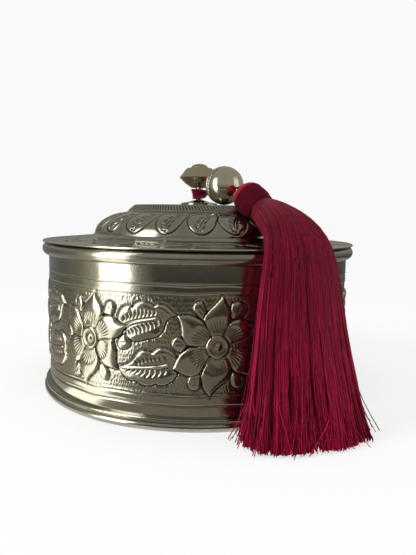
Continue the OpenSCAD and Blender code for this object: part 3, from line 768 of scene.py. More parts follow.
def band_heights(wall_r, settings):
    """Heights of the embossed band over the plain wall, in millimetres."""
    step = 2 * math.pi * wall_r / BAND_COLUMNS
    azimuth = np.arange(BAND_COLUMNS) * 360 / BAND_COLUMNS
    z = np.linspace(BAND_LOW, BAND_HIGH, BAND_ROWS)
    u_all, z_all = np.meshgrid(np.arange(BAND_COLUMNS) * step, z)
    rng = np.random.default_rng(12)
    height = np.zeros(u_all.shape)
    field = smoothstep(z_all, BORDERS[0], BORDERS[0] + 0.8) * (1 - smoothstep(
        z_all, BORDERS[1] - 0.8, BORDERS[1]))
    height -= field * (0.28 + 0.2 * punched(u_all, z_all, 5))

    size = settings.flower_radius / MM / 20
    others = settings.flowers - 1
    gap = (360 - (SECOND_FLOWER - FIRST_FLOWER)) / others
    places = [FIRST_FLOWER] + [SECOND_FLOWER + gap * k for k in range(others)]

    def stamp(azimuth_at, half, paint):
        middle = int(round((azimuth_at % 360) / 360 * BAND_COLUMNS))
        reach = int(half / step)
        take = np.arange(middle - reach, middle + reach + 1) % BAND_COLUMNS
        offset = ((azimuth[take] - azimuth_at + 180) % 360 - 180) * math.radians(1) * wall_r
        u, v = np.meshgrid(offset, z - ORNAMENT_Z)
        height[:, take] = paint(height[:, take], u, v)

    for k, place in enumerate(places):
        following = places[(k + 1) % len(places)] + (360 if k == len(places) - 1 else 0)

        def leaves(patch, u, v):
            patch = paint_leaf(patch, u, v, np.array(LOWER_LEAF), LOWER_RIB, LOWER_CUTS)
            return paint_leaf(patch, u, v, np.array(UPPER_LEAF), UPPER_RIB, UPPER_CUTS)

        stamp((place + following) / 2, 18, leaves)

    for k, place in enumerate(places):
        petals, buds = FLOWERS[k % 2]
        turn = 0 if k < 2 else 60 * (k // 2) + rng.uniform(-5, 5)

        def flower(patch, u, v):
            for outline in buds:
                patch = paint_bud(patch, u, v, turned_by(outline, turn) * size)
            for j, outline in enumerate(petals):
                patch = paint_petal(patch, u, v, turned_by(outline, turn) * size, (-1) ** j)
            return paint_boss(patch, u, v)

        stamp(place, 24, flower)

    height *= settings.relief / MM
    sway = sum(0.12 * np.sin(np.radians(azimuth) * n + rng.uniform(0, 6.28)) for n in (3, 7, 13, 22))
    for line_z in (*BORDERS, *LINES):
        off = z_all - line_z - sway[None]
        height = height - 0.35 * np.exp(-(off / 0.3) ** 2) + 0.12 * np.exp(-((off - 0.75) / 0.45) ** 2)
    fade = smoothstep(z_all, BAND_LOW, BAND_LOW + 0.5) * (1 - smoothstep(z_all, BAND_HIGH - 0.5, BAND_HIGH))
    return z, height * fade, field


EDGE_WEAR_AND_HIGHLIGHT_GAIN = 1.6                       # how strongly high edges are painted bright, for wear and a painted highlight
SECTORS = 4                           # pieces that each relief sheet is made in


def hollows(height, times, gain, ground=0.0):
    """Above 0 where a point lies lower than what is round it, and below 0 on high edges."""
    # Above 0 gives patina and painted shade in the metal, below 0 wear and a painted highlight.
    lower = blurred(height, times) - height
    return np.clip(np.where(lower > 0, lower * gain, lower * EDGE_WEAR_AND_HIGHLIGHT_GAIN) + ground, -1, 1)


class SWEETBOX_OT_wall(bpy.types.Operator):
    """Makes the drum's wall: a plain rolled shell and the embossed sheet on it"""

    bl_idname = "sweet_box.wall"
    bl_label = "Drum wall"

    def execute(self, context):
        look = context.scene.sweet_box_metal
        material = tin_material()
        wall_r, sheet = look.wall_radius / MM, look.wall_sheet / MM
        inner_r = wall_r - sheet
        roll_out = ROLL_R - wall_r
        roll_half = 3.1
        roll_z = SEAT_Z - roll_half
        turn = np.radians(np.linspace(-90, 68, 22))
        roll = np.stack([wall_r + roll_out * np.cos(turn), roll_z + roll_half * np.sin(turn)], 1)
        roll[:, 1] = np.minimum(roll[:, 1], SEAT_Z)
        recess = wall_r - 0.75
        outside = [(wall_r - 0.1, WALL_FOOT_Z), (wall_r, WALL_FOOT_Z + 0.3), (wall_r, 5.0),
                   (wall_r, BAND_LOW - 0.02), (recess, BAND_LOW), (recess, BAND_HIGH),
                   (wall_r, BAND_HIGH + 0.02), (wall_r, 64), (wall_r, roll_z - roll_half - 0.25)]
        inside = [(wall_r, SEAT_Z), (inner_r + 0.3, SEAT_Z), (inner_r, SEAT_Z - 0.3), (inner_r, 60),
                  (inner_r, 30), (inner_r, WALL_FOOT_Z + 0.2), (inner_r + 0.2, WALL_FOOT_Z)]
        shell = turned_shell("drum_shell", np.concatenate([outside, roll, inside]), 360, material)
        mark_sharp(shell, 40)
        z, height, field = band_heights(wall_r, look)
        angles = np.arange(BAND_COLUMNS) * 2 * math.pi / BAND_COLUMNS
        grid = turned_points(wall_r + height, z[:, None], angles)
        # Patina and painted shade in the relief's hollows, darker still on the punched ground, and wear and
        # a painted highlight on its high edges
        dark = hollows(height, 6, 2.5, 0.08 * field)
        back = np.array([(recess + 0.02, BAND_HIGH), (recess + 0.02, BAND_LOW)])
        band = turned_relief("flower_band", grid, back, dark, SECTORS, material)
        for piece in (shell, *band):
            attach(piece, "drum")
            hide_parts("body_wall")
        return {"FINISHED"}


def mark_sharp(piece, degrees):
    """Smooth shading, broken at edges sharper than an angle."""
    piece.data.set_sharp_from_angle(angle=math.radians(degrees))


# ---------------------------------------------------------------- the lid

DOME_FOOT_R, DOME_CORE_R, DOME_H = 54.3, 30.0, 12.0
FLAT_R, BAND_H = 34.3, 3.7            # the flat top and the sloping band under it
FLARE_W, FLARE_H = 3.7, 1.3           # the hollow between dome and brim
BRIM_EDGE = 1.0
LID_SHEET = 1.0
LID_COLUMNS = 1120                    # columns of the lid's relief
DOME_Z = SEAT_Z + BRIM_EDGE + 1.8 + FLARE_H

ARC_POINTS = 60
# Which points of the lid's profile are the flat top's end, the band's foot, the dome's foot,
# the crease outside it and the brim's start
FLAT_POINT, SHOULDER_POINT, DOME_POINT, CREASE_POINT, BRIM_POINT = 2, 4, 64, 65, 67

# An engraved leaf on the dome: across it and up it, from the middle of its foot
DOME_LEAF = ((7.6, 17.4), (7.6, 17.4), (3.4, 17.8), (-1.6, 16.6), (-5.4, 13.4), (-7.0, 9.2), (-6.0, 5.0),
             (-3.0, 2.2), (0.8, 1.4), (4.2, 3.0), (6.4, 6.4), (7.6, 10.8), (8.0, 14.4))
DOME_RIB = ((-0.8, 3.6), (0.0, 7.0), (2.0, 10.6), (5.2, 14.6))
DOME_BARBS = 11
BAND_STROKES = 150                    # slanting strokes round the band under the flat top
# A scroll leaf on the brim: round it and outwards
BRIM_LEAF = ((-8.5, 3.5), (-5.5, 8.5), (0, 10.6), (5.5, 9.2), (8.8, 5.2), (5.0, 1.6), (-1.5, 0.6),
             (-5.5, 1.4))
BRIM_RIB = ((-7.0, 3.6), (-2.5, 5.6), (2.5, 6.0), (7.0, 4.8))
BRIM_LEAVES = 18
BRIM_SIZE, BRIM_SHIFT = (1.28, 1.2), (0, 3.2)


def lid_outside():
    """The lid's outside from the tang's hole to the brim's edge, and how far along each point is."""
    shoulder_r = FLAT_R + BAND_H
    shoulder_z = TOP_Z - BAND_H
    start = math.acos((shoulder_r - DOME_CORE_R) / (DOME_FOOT_R - DOME_CORE_R))
    arc = [(DOME_CORE_R + (DOME_FOOT_R - DOME_CORE_R) * math.cos(a), DOME_Z + DOME_H * math.sin(a))
           for a in np.linspace(start, 0, ARC_POINTS)]
    edge_r, edge_z = BRIM_R, SEAT_Z + BRIM_EDGE
    corner = [(2.0, TOP_Z), (FLAT_R - 1.0, TOP_Z), (FLAT_R - 0.35, TOP_Z - 0.08), (FLAT_R, TOP_Z - 0.35)]
    flare = [(DOME_FOOT_R + 0.5, DOME_Z - 0.6), (DOME_FOOT_R + 1.6, DOME_Z - 1.1),
             (DOME_FOOT_R + FLARE_W, DOME_Z - FLARE_H), (edge_r - 0.5, edge_z),
             (edge_r - 0.12, edge_z - 0.14), (edge_r, edge_z - 0.4)]
    rough = np.array(corner + [(shoulder_r - 0.2, shoulder_z + 0.2)] + arc + flare)
    reach = np.concatenate([[0], np.cumsum(np.linalg.norm(np.diff(rough, axis=0), axis=1))])
    return rough, reach


class SWEETBOX_OT_lid(bpy.types.Operator):
    """Makes the lid: one raised sheet with leaves engraved on its dome and brim"""

    bl_idname = "sweet_box.lid"
    bl_label = "Lid"

    def execute(self, context):
        look = context.scene.sweet_box_metal
        material = tin_material()
        rough, reach = lid_outside()
        flat_end = reach[FLAT_POINT]
        rows = np.concatenate([np.linspace(0, flat_end, 12, endpoint=False),
                               np.linspace(flat_end, reach[-1] - 1.2, 150, endpoint=False),
                               np.linspace(reach[-1] - 1.2, reach[-1], 9)])
        r, z = np.interp(rows, reach, rough[:, 0]), np.interp(rows, reach, rough[:, 1])
        slope = np.gradient(np.stack([r, z], 1), axis=0)
        slope /= np.linalg.norm(slope, axis=1, keepdims=True)
        away = np.stack([-slope[:, 1], slope[:, 0]], 1)
        height = lid_heights(r, rows, reach, look)
        angles = np.arange(LID_COLUMNS) * 2 * math.pi / LID_COLUMNS
        grid = turned_points(r[:, None] + away[:, :1] * height, z[:, None] + away[:, 1:] * height, angles)
        # the outline runs outwards here, and the relief sheet wants it to run the other way round
        grid, height = grid[::-1], height[::-1]
        dome_rows = (r > FLAT_R + 2) & (r < DOME_FOOT_R)
        under = np.stack([r - away[:, 0] * LID_SHEET, z - away[:, 1] * LID_SHEET], 1)[dome_rows][::4]
        back = np.concatenate([[(2.0, TOP_Z - LID_SHEET), (FLAT_R - 1.2, TOP_Z - LID_SHEET)], under,
                               [(DOME_FOOT_R + FLARE_W, DOME_Z - FLARE_H - LID_SHEET),
                                (wall_seat(), SEAT_Z + 0.03), (BRIM_R - 0.3, SEAT_Z + 0.03),
                                (BRIM_R - 0.02, SEAT_Z + 0.3)]])
        # Patina and painted shade in the engraving, and wear and a painted highlight on its high edges
        dark = hollows(height, 5, 4.2, 0.06)
        dark[rows[::-1] > reach[-1] - 0.9] = -0.9       # the brim's edge is painted bright: wear and a painted highlight
        lid = turned_relief("lid_sheet", grid, back, dark, SECTORS, material)
        for piece in lid:
            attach(piece, "lid")
            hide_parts("lid_shell")
        return {"FINISHED"}


def wall_seat():
    """Inner edge of the brim's flat underside."""
    return COLLAR_R - 1.2


def lid_heights(r, rows, reach, look):
    """Heights of the lid's engraving, in millimetres, one row for each point of its profile."""
    dome_start, dome_end = reach[SHOULDER_POINT], reach[DOME_POINT]
    azimuth = np.arange(LID_COLUMNS) * 360 / LID_COLUMNS
    height = np.zeros((len(r), LID_COLUMNS))
    up = dome_end - rows

    def stamp(azimuth_at, half_angle, row_mask, height_of, radius_of, paint):
        offset = (azimuth - azimuth_at + 180) % 360 - 180
        take = np.where(np.abs(offset) < half_angle)[0]
        pick = np.where(row_mask)[0]
        u = np.radians(offset[take])[None] * radius_of(r[pick])[:, None]
        v = np.broadcast_to(height_of[pick][:, None], u.shape)
        patch = height[np.ix_(pick, take)]
        height[np.ix_(pick, take)] = paint(patch, u, v)

    count = look.lid_leaves
    rng = np.random.default_rng(7)
    on_dome = (up > -0.5) & (rows > dome_start - 0.3)
    for k in range(count):
        lean = rng.uniform(0.92, 1.08)
        flip = rng.uniform(-0.4, 0.4)

        def dome_leaf(patch, u, v):
            size = np.array([lean * 0.92, (dome_end - dome_start) / 20.0])
            outline = through((np.array(DOME_LEAF) + (flip, 0)) * size, 5, closed=True)
            depth = depth_inside(outline, u, v)
            patch = patch + np.where(depth > 0, 0.25 * (1 - np.exp(-np.maximum(depth, 0) / 2.0)), 0)
            patch = patch - 0.5 * np.exp(-(depth / 0.34) ** 2)
            rib = through(np.array(DOME_RIB) * size, 5)
            patch = cut(patch, rib, u, v, 0.6, 0.34)
            for j in range(DOME_BARBS):
                at = rib[int((j + 1) * (len(rib) - 1) / (DOME_BARBS + 0.5))]
                patch = cut(patch, np.array([at + (0.5, -0.4), at + (2.7, 1.2)]), u, v, 0.55, 0.24)
                patch = cut(patch, np.array([at + (-0.5, 0.3), at + (-2.4, 1.4)]), u, v, 0.45, 0.24)
            for dot in ((-1.4, 3.4), (-0.1, 3.2), (-1.7, 4.8)):
                spot = np.hypot(u - dot[0], v - dot[1])
                patch = patch - 0.6 * np.exp(-(spot / 0.5) ** 2)
            return patch

        stamp(1.2 + 360 / count * k, 11, on_dome, up, lambda radius: np.maximum(radius, 40.0), dome_leaf)

    on_band = (r > FLAT_R - 0.5) & (r < FLAT_R + BAND_H)
    share = (r - FLAT_R) / BAND_H
    phase = (azimuth[None] / 360 * BAND_STROKES - 1.3 * share[:, None]) % 1 - 0.5
    length = smoothstep(share, -0.05, 0.12) * (1 - smoothstep(share, 0.55, 0.95))
    height -= on_band[:, None] * 0.42 * length[:, None] * np.exp(-(phase / 0.24) ** 2)

    outward = rows - reach[BRIM_POINT]
    on_brim = outward > 0
    for k in range(BRIM_LEAVES):
        def brim_leaf(patch, u, v):
            shape = np.array(BRIM_LEAF) * BRIM_SIZE + BRIM_SHIFT
            depth = depth_inside(through(shape, 4, closed=True), u, v)
            patch = patch - 0.62 * np.exp(-(depth / 0.6) ** 2)
            patch = patch + np.where(depth > 0, 0.12 * (1 - np.exp(-np.maximum(depth, 0) / 1.5)), 0)
            rib = through(np.array(BRIM_RIB) * BRIM_SIZE + BRIM_SHIFT, 4)
            patch = cut(patch, rib, u, v, 0.5, 0.6)
            for j in range(6):
                at = rib[int((j + 1.2) * (len(rib) - 1) / 7.5)]
                patch = cut(patch, np.array([at + (0.3, 0.5), at + (1.8, 3.4)]), u, v, 0.45, 0.5)
            return patch

        stamp(360 / BRIM_LEAVES * k + 6, 11, on_brim, outward,
              lambda radius: np.full(radius.shape, 70.0), brim_leaf)
    crease = rows - reach[CREASE_POINT]
    height -= (0.3 * np.exp(-(crease / 0.35) ** 2))[:, None]
    height -= (0.2 * np.exp(-((rows - dome_start) / 0.35) ** 2))[:, None]
    ends = smoothstep(rows, 6, 9) * (1 - smoothstep(rows, reach[-1] - 2.0, reach[-1] - 1.2))
    return height * ends[:, None]


# ---------------------------------------------------------------- plain metal


class SWEETBOX_OT_fittings(bpy.types.Operator):
    """Gives the foot, floor, collar, wire, knob, washer and nut their finishes"""

    bl_idname = "sweet_box.fittings"
    bl_label = "Fittings"

    def execute(self, context):
        look = context.scene.sweet_box_metal
        tin = tin_material()
        cast = worked_metal("cast_brass", look.cast, look.patina_and_shade, 0.19, 0.5, 0.3, 0.35)
        steel = worked_metal("dull_steel", (0.42, 0.42, 0.41), (0.1, 0.09, 0.08), 0.38, 0.05)
        finishes = {"foot_ring": tin, "floor_plate": tin, "lid_collar": tin, "knob_base": tin,
                    "knob": cast, "knob_washer": steel, "knob_nut": steel, "rim_wire": steel,
                    "head_core": bare_wood()}
        for node, material in finishes.items():
            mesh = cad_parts[node].data
            mesh.materials.clear()
            mesh.materials.append(material)
        return {"FINISHED"}


# ---------------------------------------------------------------- the bead

BEAD_R, BEAD_SHEET = 9.55, 0.9
BEAD_AT = np.array([12.5, -18.0, TOP_Z + 0.3 + BEAD_R])
BEAD_TURN, BEAD_DIP = 45, 9
BEAD_HOLE_R = 1.0
BEAD_SEAM = -1.0                      # the seam's place along the axis, on the knob's side


def placer(origin, azimuth, dip):
    """Turns points whose +Z is an axis into points in the frame."""
    way = direction(azimuth, dip)
    side = np.array([math.cos(math.radians(azimuth)), math.sin(math.radians(azimuth)), 0])
    up = np.cross(way, side)

    def place(points):
        return origin + points[:, :1] * side + points[:, 1:2] * up + points[:, 2:3] * way

    return place


def bead_half(name, low, high, engraving, material, tarnish=0.0):
    """One shell of the bead, between two angles from its equator, engraved by a function."""
    inner_r = BEAD_R - BEAD_SHEET
    turn = np.linspace(low, high, 84)
    columns = 270
    angles = np.arange(columns) * 2 * math.pi / columns
    lift = engraving(turn[:, None], angles[None])
    radius = BEAD_R + lift
    outer_r, outer_z = radius * np.cos(turn[:, None]), radius * np.sin(turn[:, None])
    inner_ends = [math.copysign(math.acos(BEAD_HOLE_R / inner_r), a) if abs(a) > 1
                  else math.asin(BEAD_R * math.sin(a) / inner_r) for a in (high, low)]
    back = np.linspace(*inner_ends, 12)
    back_r = np.repeat(inner_r * np.cos(back)[:, None], columns, 1)
    back_z = np.repeat(inner_r * np.sin(back)[:, None], columns, 1)
    radii, heights = np.concatenate([outer_r, back_r]), np.concatenate([outer_z, back_z])
    grid = turned_points(radii, heights, angles)
    rows = len(radii)
    index = np.arange(rows * columns).reshape(rows, columns)
    above = np.roll(index, -1, 0)
    quads = np.stack([index, np.roll(index, -1, 1), np.roll(above, -1, 1), above], -1).reshape(-1, 4)
    place = placer(BEAD_AT, BEAD_TURN, BEAD_DIP)
    # Tarnish as given, patina and painted shade in the engraving, and wear and a painted highlight on its
    # ridges
    dark = np.concatenate([hollows(lift, 6, 6.0, tarnish), np.zeros(back_r.shape)])
    piece = mesh_object(name, place(grid.reshape(-1, 3)), [quads], hollow=dark)
    piece.data.materials.append(material)
    mark_sharp(piece, 50)
    return piece


class SWEETBOX_OT_bead(bpy.types.Operator):
    """Makes the hollow bead: an engraved shell and a polished one"""

    bl_idname = "sweet_box.bead"
    bl_label = "Bead"

    def execute(self, context):
        look = context.scene.sweet_box_metal
        polished = worked_metal("polished_plate", look.plate, look.patina_and_shade, 0.08, 0.2, 0.3)
        seam = math.asin(BEAD_SEAM / BEAD_R)
        hole = math.acos(BEAD_HOLE_R / BEAD_R)

        def engraved(turn, angle):
            back = (seam - turn) * BEAD_R      # millimetres from the seam
            teeth = 0.5 + 0.45 * np.abs(((angle / (2 * math.pi) * 34) % 1) * 2 - 1)
            zigzag = -0.5 * np.exp(-((back - teeth) / 0.24) ** 2)
            lines = sum(-0.42 * np.exp(-((back - at) / 0.22) ** 2) for at in (1.6, 3.6, 5.2, 6.8, 8.4))
            rope = 0.5 + 0.5 * np.cos(angle * 60 + back * 2.2)
            twist = -0.5 * rope ** 3 * np.exp(-((back - 2.6) / 0.75) ** 4)
            dots = -0.18 * (0.5 + 0.5 * np.cos(angle * 48)) ** 4 * np.exp(-((back - 6.0) / 0.4) ** 2)
            edge = np.minimum(back / 0.2, 1)
            return (zigzag + lines + twist + dots) * np.clip(edge, 0, 1) * smoothstep(hole + turn, 0, 0.1)

        def plain(turn, angle):
            away = (turn - seam) * BEAD_R
            rim = -0.3 * np.exp(-((away - 0.2) / 0.22) ** 2)
            rings = -0.07 * np.exp(-((away - 13.0) / 0.2) ** 2)
            dent = 0.05 * np.sin(angle * 3 + 1) * np.cos(turn * 4) + 0.03 * np.sin(angle * 5 + 2.6)
            return (rim + rings + dent * np.cos(turn)) * smoothstep(hole - turn, 0, 0.1)

        near = bead_half("bead_engraved", -hole, seam, engraved, polished, 0.2)
        far = bead_half("bead_polished", seam, hole, plain, polished)
        for piece, node in ((near, "bead_near_half"), (far, "bead_far_half")):
            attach(piece, "bead")
            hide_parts(node)
        return {"FINISHED"}


# ---------------------------------------------------------------- room that the lid takes


def clear_of_box(points, gap):
    """Moves points, in millimetres, out of the lid and the drum to a gap away from them."""
    rough, _ = lid_outside()
    outline = np.concatenate([[(0.0, TOP_Z)], rough, [(BRIM_R, SEAT_Z), (ROLL_R, SEAT_Z - 3), (ROLL_R, -5)]])
    flat = points.reshape(-1, 3)
    out = np.hypot(flat[:, 0], flat[:, 1])
    z = flat[:, 2]
    nearest = np.full(len(flat), 1e9)
    foot = np.zeros((len(flat), 2))
    way = np.zeros((len(flat), 2))
    for (ar, az), (br, bz) in zip(outline[:-1], outline[1:]):
        dr, dz = br - ar, bz - az
        length = math.hypot(dr, dz)
        if length < 1e-6:
            continue
        share = np.clip(((out - ar) * dr + (z - az) * dz) / length ** 2, 0, 1)
        fr, fz = ar + share * dr, az + share * dz
        away = np.hypot(out - fr, z - fz)
        closer = away < nearest
        nearest = np.where(closer, away, nearest)
        foot[closer] = np.stack([fr, fz], 1)[closer]
        way[closer] = (-dz / length, dr / length)
    side = (out - foot[:, 0]) * way[:, 0] + (z - foot[:, 1]) * way[:, 1]
    short = (side < 0) | (nearest < gap)
    new_r = np.where(short, foot[:, 0] + way[:, 0] * gap, out)
    new_z = np.where(short, foot[:, 1] + way[:, 1] * gap, z)
    scale = new_r / np.maximum(out, 1e-9)
    return np.stack([flat[:, 0] * scale, flat[:, 1] * scale, new_z], 1).reshape(points.shape)


def clear_lines(lines, gap):
    """Moves lines out of the lid and the drum, along their stretches as well as at their points."""
    lines = clear_of_box(lines, gap)
    for share in (0.5, 0.25, 0.75, 0.5, 0.3, 0.7, 0.1, 0.9):
        between = lines[:, :-1] * (1 - share) + lines[:, 1:] * share
        push = clear_of_box(between, gap) - between
        both = share ** 2 + (1 - share) ** 2
        lines[:, 1:] += push * share / both
        lines[:, :-1] += push * (1 - share) / both
    return lines


# ---------------------------------------------------------------- the cord

CORD_TURNS = 3.25
COIL_TOP_Z, COIL_LOW_Z = FOOT_TOP_Z + 5.4, FOOT_TOP_Z + 1.2
COIL_R, COIL_FLARE = 2.9, 0.9         # radius of the lowest turn, and how much the top one adds
COIL_END = 207                        # angle from +X at which the cord leaves the neck
HEAD_AT = np.array([20.1, -29.8, TOP_Z + 6.7])
HEAD_TURN, HEAD_DIP = 40, 32
KNOT_S = 10.6                         # the knot's place along the head's axis
# The cord from the neck to the bead, as points above the lowest turn
LEAD = np.array([(-1.4, -3.8, 0), (0.8, -6, 0.4), (3.2, -8, 1.2), (4.6, -9, 2.8), (4.8, -9.6, 4.8),
                 (5, -10.4, 6.2)]) + (0, 0, COIL_LOW_Z)
LEAD_TO_HEAD = np.array([(19.6, -27.2, TOP_Z + 8)])


def cord_route():
    """The cord's middle line, from its top turn round the neck to its knot in the tassel's head."""
    share = np.linspace(0, 1, int(CORD_TURNS * 24) + 1)
    a = np.radians(COIL_END - 360 * CORD_TURNS * (1 - share))
    r = COIL_R + COIL_FLARE * (1 - share) ** 2
    coil = np.stack([r * np.cos(a), r * np.sin(a), COIL_TOP_Z + (COIL_LOW_Z - COIL_TOP_Z) * share], 1)
    bead = direction(BEAD_TURN, BEAD_DIP) * (BEAD_R + 0.6)
    head = direction(HEAD_TURN, HEAD_DIP)
    points = np.concatenate([coil, LEAD, [BEAD_AT - bead, BEAD_AT + bead], LEAD_TO_HEAD,
                             [HEAD_AT, HEAD_AT + head * (KNOT_S - 1)]])
    line = through(points, 8)
    reach = np.concatenate([[0], np.cumsum(np.linalg.norm(np.diff(line, axis=0), axis=1))])
    even = np.linspace(0, reach[-1], int(reach[-1] / 0.22))
    return np.stack([np.interp(even, reach, line[:, k]) for k in range(3)], 1), even


class SWEETBOX_OT_cord(bpy.types.Operator):
    """Makes the twisted cord from the knob's neck, through the bead, to its knot"""

    bl_idname = "sweet_box.cord"
    bl_label = "Cord"

    def execute(self, context):
        look = context.scene.sweet_box_tassel
        radius = look.cord_radius / MM
        # The cord's silk is a darker copy of the skirt's silk: painted shade.
        material = silk("twisted_silk", [c * 0.5 for c in look.silk], look.silk_dark, 0.5, 0.04)
        line, along = cord_route()
        tangent = np.gradient(line, axis=0)
        tangent /= np.linalg.norm(tangent, axis=1, keepdims=True)
        side = np.zeros_like(line)
        side[0] = np.cross(tangent[0], (0, 0, 1))
        for i in range(1, len(line)):
            kept = side[i - 1] - tangent[i] * (side[i - 1] @ tangent[i])
            side[i] = kept / np.linalg.norm(kept)
        side[0] /= np.linalg.norm(side[0])
        other = np.cross(tangent, side)
        plies = []
        for k in range(3):
            a = along[:, None] / 2.6 * 2 * math.pi + k * 2 * math.pi / 3
            plies.append(line + radius * 0.47 * (side * np.cos(a) + other * np.sin(a)))
        shade = np.array([[0.75], [0.55], [0.65]])
        cord = threads("twisted_cord", np.array(plies), 1.0, shade, radius * 0.52 * MM, 6, material)
        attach(cord, "tassel")
        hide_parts("neck_cord")
        knot = self.knot(radius, material)
        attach(knot, "tassel")
        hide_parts("cord_knot")
        return {"FINISHED"}

    def knot(self, radius, material):
        """A wound knot: one line that goes round a small ball in two ways."""
        a = np.linspace(0, 2 * math.pi, 120)
        wide, deep = 1.35, 0.55
        ball = np.stack([(wide + deep * np.cos(5 * a)) * np.cos(2 * a),
                         (wide + deep * np.cos(5 * a)) * np.sin(2 * a), 1.1 * np.sin(5 * a)], 1)
        place = placer(HEAD_AT + direction(HEAD_TURN, HEAD_DIP) * KNOT_S, HEAD_TURN, HEAD_DIP)
        return threads("cord_knot_wound", place(ball)[None], 1.0, 0.6, radius * 0.8 * MM, 6, material)


# ---------------------------------------------------------------- the tassel's head

HEAD_R, HEAD_LEN, CAP_LEN = 7.7, 16.4, 6.0
COVER, BINDING_W, NECK_R = 0.6, 1.3, 6.3
SOFT_GAP = 0.4
NET_END = HEAD_LEN - BINDING_W
CAP_WRAPS, CAP_COLUMNS = 132, 660     # threads wrapped over the cap, and its mesh's columns


def head_radius(s):
    """Radius of the head's outside at a distance along it."""
    s = np.asarray(s, float)
    cap = HEAD_R * np.sqrt(np.clip(1 - ((CAP_LEN - s) / CAP_LEN) ** 2, 0, 1))
    net = HEAD_R - 0.8 * smoothstep(s, NET_END - 4, NET_END + 0.3)
    return np.where(s < CAP_LEN, cap, net)


class SWEETBOX_OT_head(bpy.types.Operator):
    """Makes the tassel's head: a satin cap, a knitted net and the binding at its neck"""

    bl_idname = "sweet_box.head"
    bl_label = "Tassel head"

    def execute(self, context):
        look = context.scene.sweet_box_tassel
        # The cap's silk is a lighter copy of the skirt's silk, painted light on the satin, and the net's a
        # darker copy, painted shade in the knit.
        bright = [c * 0.72 for c in look.silk]
        deep = [c * 0.27 for c in look.silk]
        satin = silk("wrapped_silk", bright, deep, 0.32, 0.12)
        knit = silk("knitted_silk", deep, look.silk_dark, 0.45, 0.05)
        self.place = placer(HEAD_AT, HEAD_TURN, HEAD_DIP)
        made = {"satin_cap": self.cap(satin), "net_cover": self.net(knit),
                "neck_binding": self.binding(knit)}
        for node, piece in made.items():
            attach(piece, "tassel")
            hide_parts(node)
        return {"FINISHED"}

    def settle(self, piece):
        """Presses a piece flat where it lies on the lid."""
        points = np.empty(len(piece.data.vertices) * 3, np.float32)
        piece.data.vertices.foreach_get("co", points)
        kept = clear_of_box(points.reshape(-1, 3).astype(float) / MM, SOFT_GAP)
        piece.data.vertices.foreach_set("co", (kept * MM).astype(np.float32).ravel())
        piece.data.update()
        return piece

    def cap(self, material):
        """The smooth cap: a shell with a ridge for each wrapped thread."""
        turn = np.radians(np.linspace(10, 90, 40))
        outer = np.stack([HEAD_R * np.sin(turn), CAP_LEN - CAP_LEN * np.cos(turn)], 1)
        inner = np.stack([(HEAD_R - COVER) * np.sin(turn), CAP_LEN - (CAP_LEN - COVER) * np.cos(turn)], 1)
        profile = np.concatenate([outer, inner[::-1]])
        angles = np.arange(CAP_COLUMNS) * 2 * math.pi / CAP_COLUMNS
        wraps = np.random.default_rng(3).uniform(0.3, 1.0, CAP_WRAPS)
        wrap = wraps[(angles * CAP_WRAPS / 2 / math.pi).astype(int) % CAP_WRAPS]
        ridge = (np.abs(np.sin(angles * CAP_WRAPS / 2)) * 0.13 - 0.08) * wrap
        near = slice(len(outer))

        def ridged(grid, _):
            scale = 1 + np.zeros(grid.shape[:2])
            out = np.hypot(grid[..., 0], grid[..., 1])
            scale[near] += ridge[None] / np.maximum(out[near], 1.0) * smoothstep(out[near], 1, 4)
            grid[..., 0] *= scale
            grid[..., 1] *= scale
            return grid

        piece = turned_shell("satin_cap_wrapped", profile[::-1], CAP_COLUMNS, material, self.place, ridged)
        flip_if_inside_out(piece)
        shades = np.repeat(wrap[None], len(profile), 0)
        layer = piece.data.attributes.new("shade", "FLOAT", "POINT")
        layer.data.foreach_set("value", (0.25 + 0.6 * shades).astype(np.float32).ravel())
        return self.settle(piece)

    def net(self, material):
        """A closed sleeve with columns of knitted stitches over it."""
        s = np.linspace(CAP_LEN, NET_END, 24)
        outer = np.stack([head_radius(s) - 0.2, s], 1)
        inner = np.stack([head_radius(s) - COVER, s], 1)
        sleeve = turned_shell("net_sleeve", np.concatenate([outer, inner[::-1]])[::-1], 120, material,
                              self.place)
        flip_if_inside_out(sleeve)
        columns, per_stitch, pitch = 64, 5, 0.78
        length = NET_END + 0.2 - (CAP_LEN - 0.5)
        stitches = length / pitch
        count = int(stitches * per_stitch)
        t = np.linspace(0, 1, count)
        lines, shade = [], []
        rng = np.random.default_rng(21)
        for k in range(columns):
            for side in (-1, 1):
                phase = 2 * math.pi * stitches * t
                along = CAP_LEN - 0.5 + length * t + 0.3 * np.sin(phase)
                swing = side * (0.5 + 0.42 * np.cos(phase)) * math.pi / columns
                angle = 2 * math.pi * (k + 0.5) / columns + swing + 0.35 * (t - 0.5)
                r = head_radius(along) - 0.1 + 0.1 * np.cos(phase + side * 0.8)
                lines.append(np.stack([r * np.sin(angle), -r * np.cos(angle), along], 1))
                shade.append(rng.uniform(0.45, 0.95))
        lines = self.place(np.array(lines).reshape(-1, 3)).reshape(2 * columns, count, 3)
        knitted = threads("net_knit", lines, 1.0, np.array(shade)[:, None], 0.2 * MM, 4, material)
        return self.settle(join("net_cover_knitted", [sleeve, knitted]))

    def binding(self, material):
        """Three turns of thread round the neck."""
        turns, steps = 3.0, 72
        t = np.linspace(0, 1, int(turns * steps))
        a = 2 * math.pi * turns * t
        s = NET_END + 0.25 + (BINDING_W - 0.5) * t
        r = NECK_R + 0.25 + 0 * t
        wound = np.stack([r * np.sin(a), -r * np.cos(a), s], 1)
        ring = threads("neck_binding_wound", self.place(wound)[None], 1.0, 0.12, 0.28 * MM, 6, material)
        return self.settle(ring)


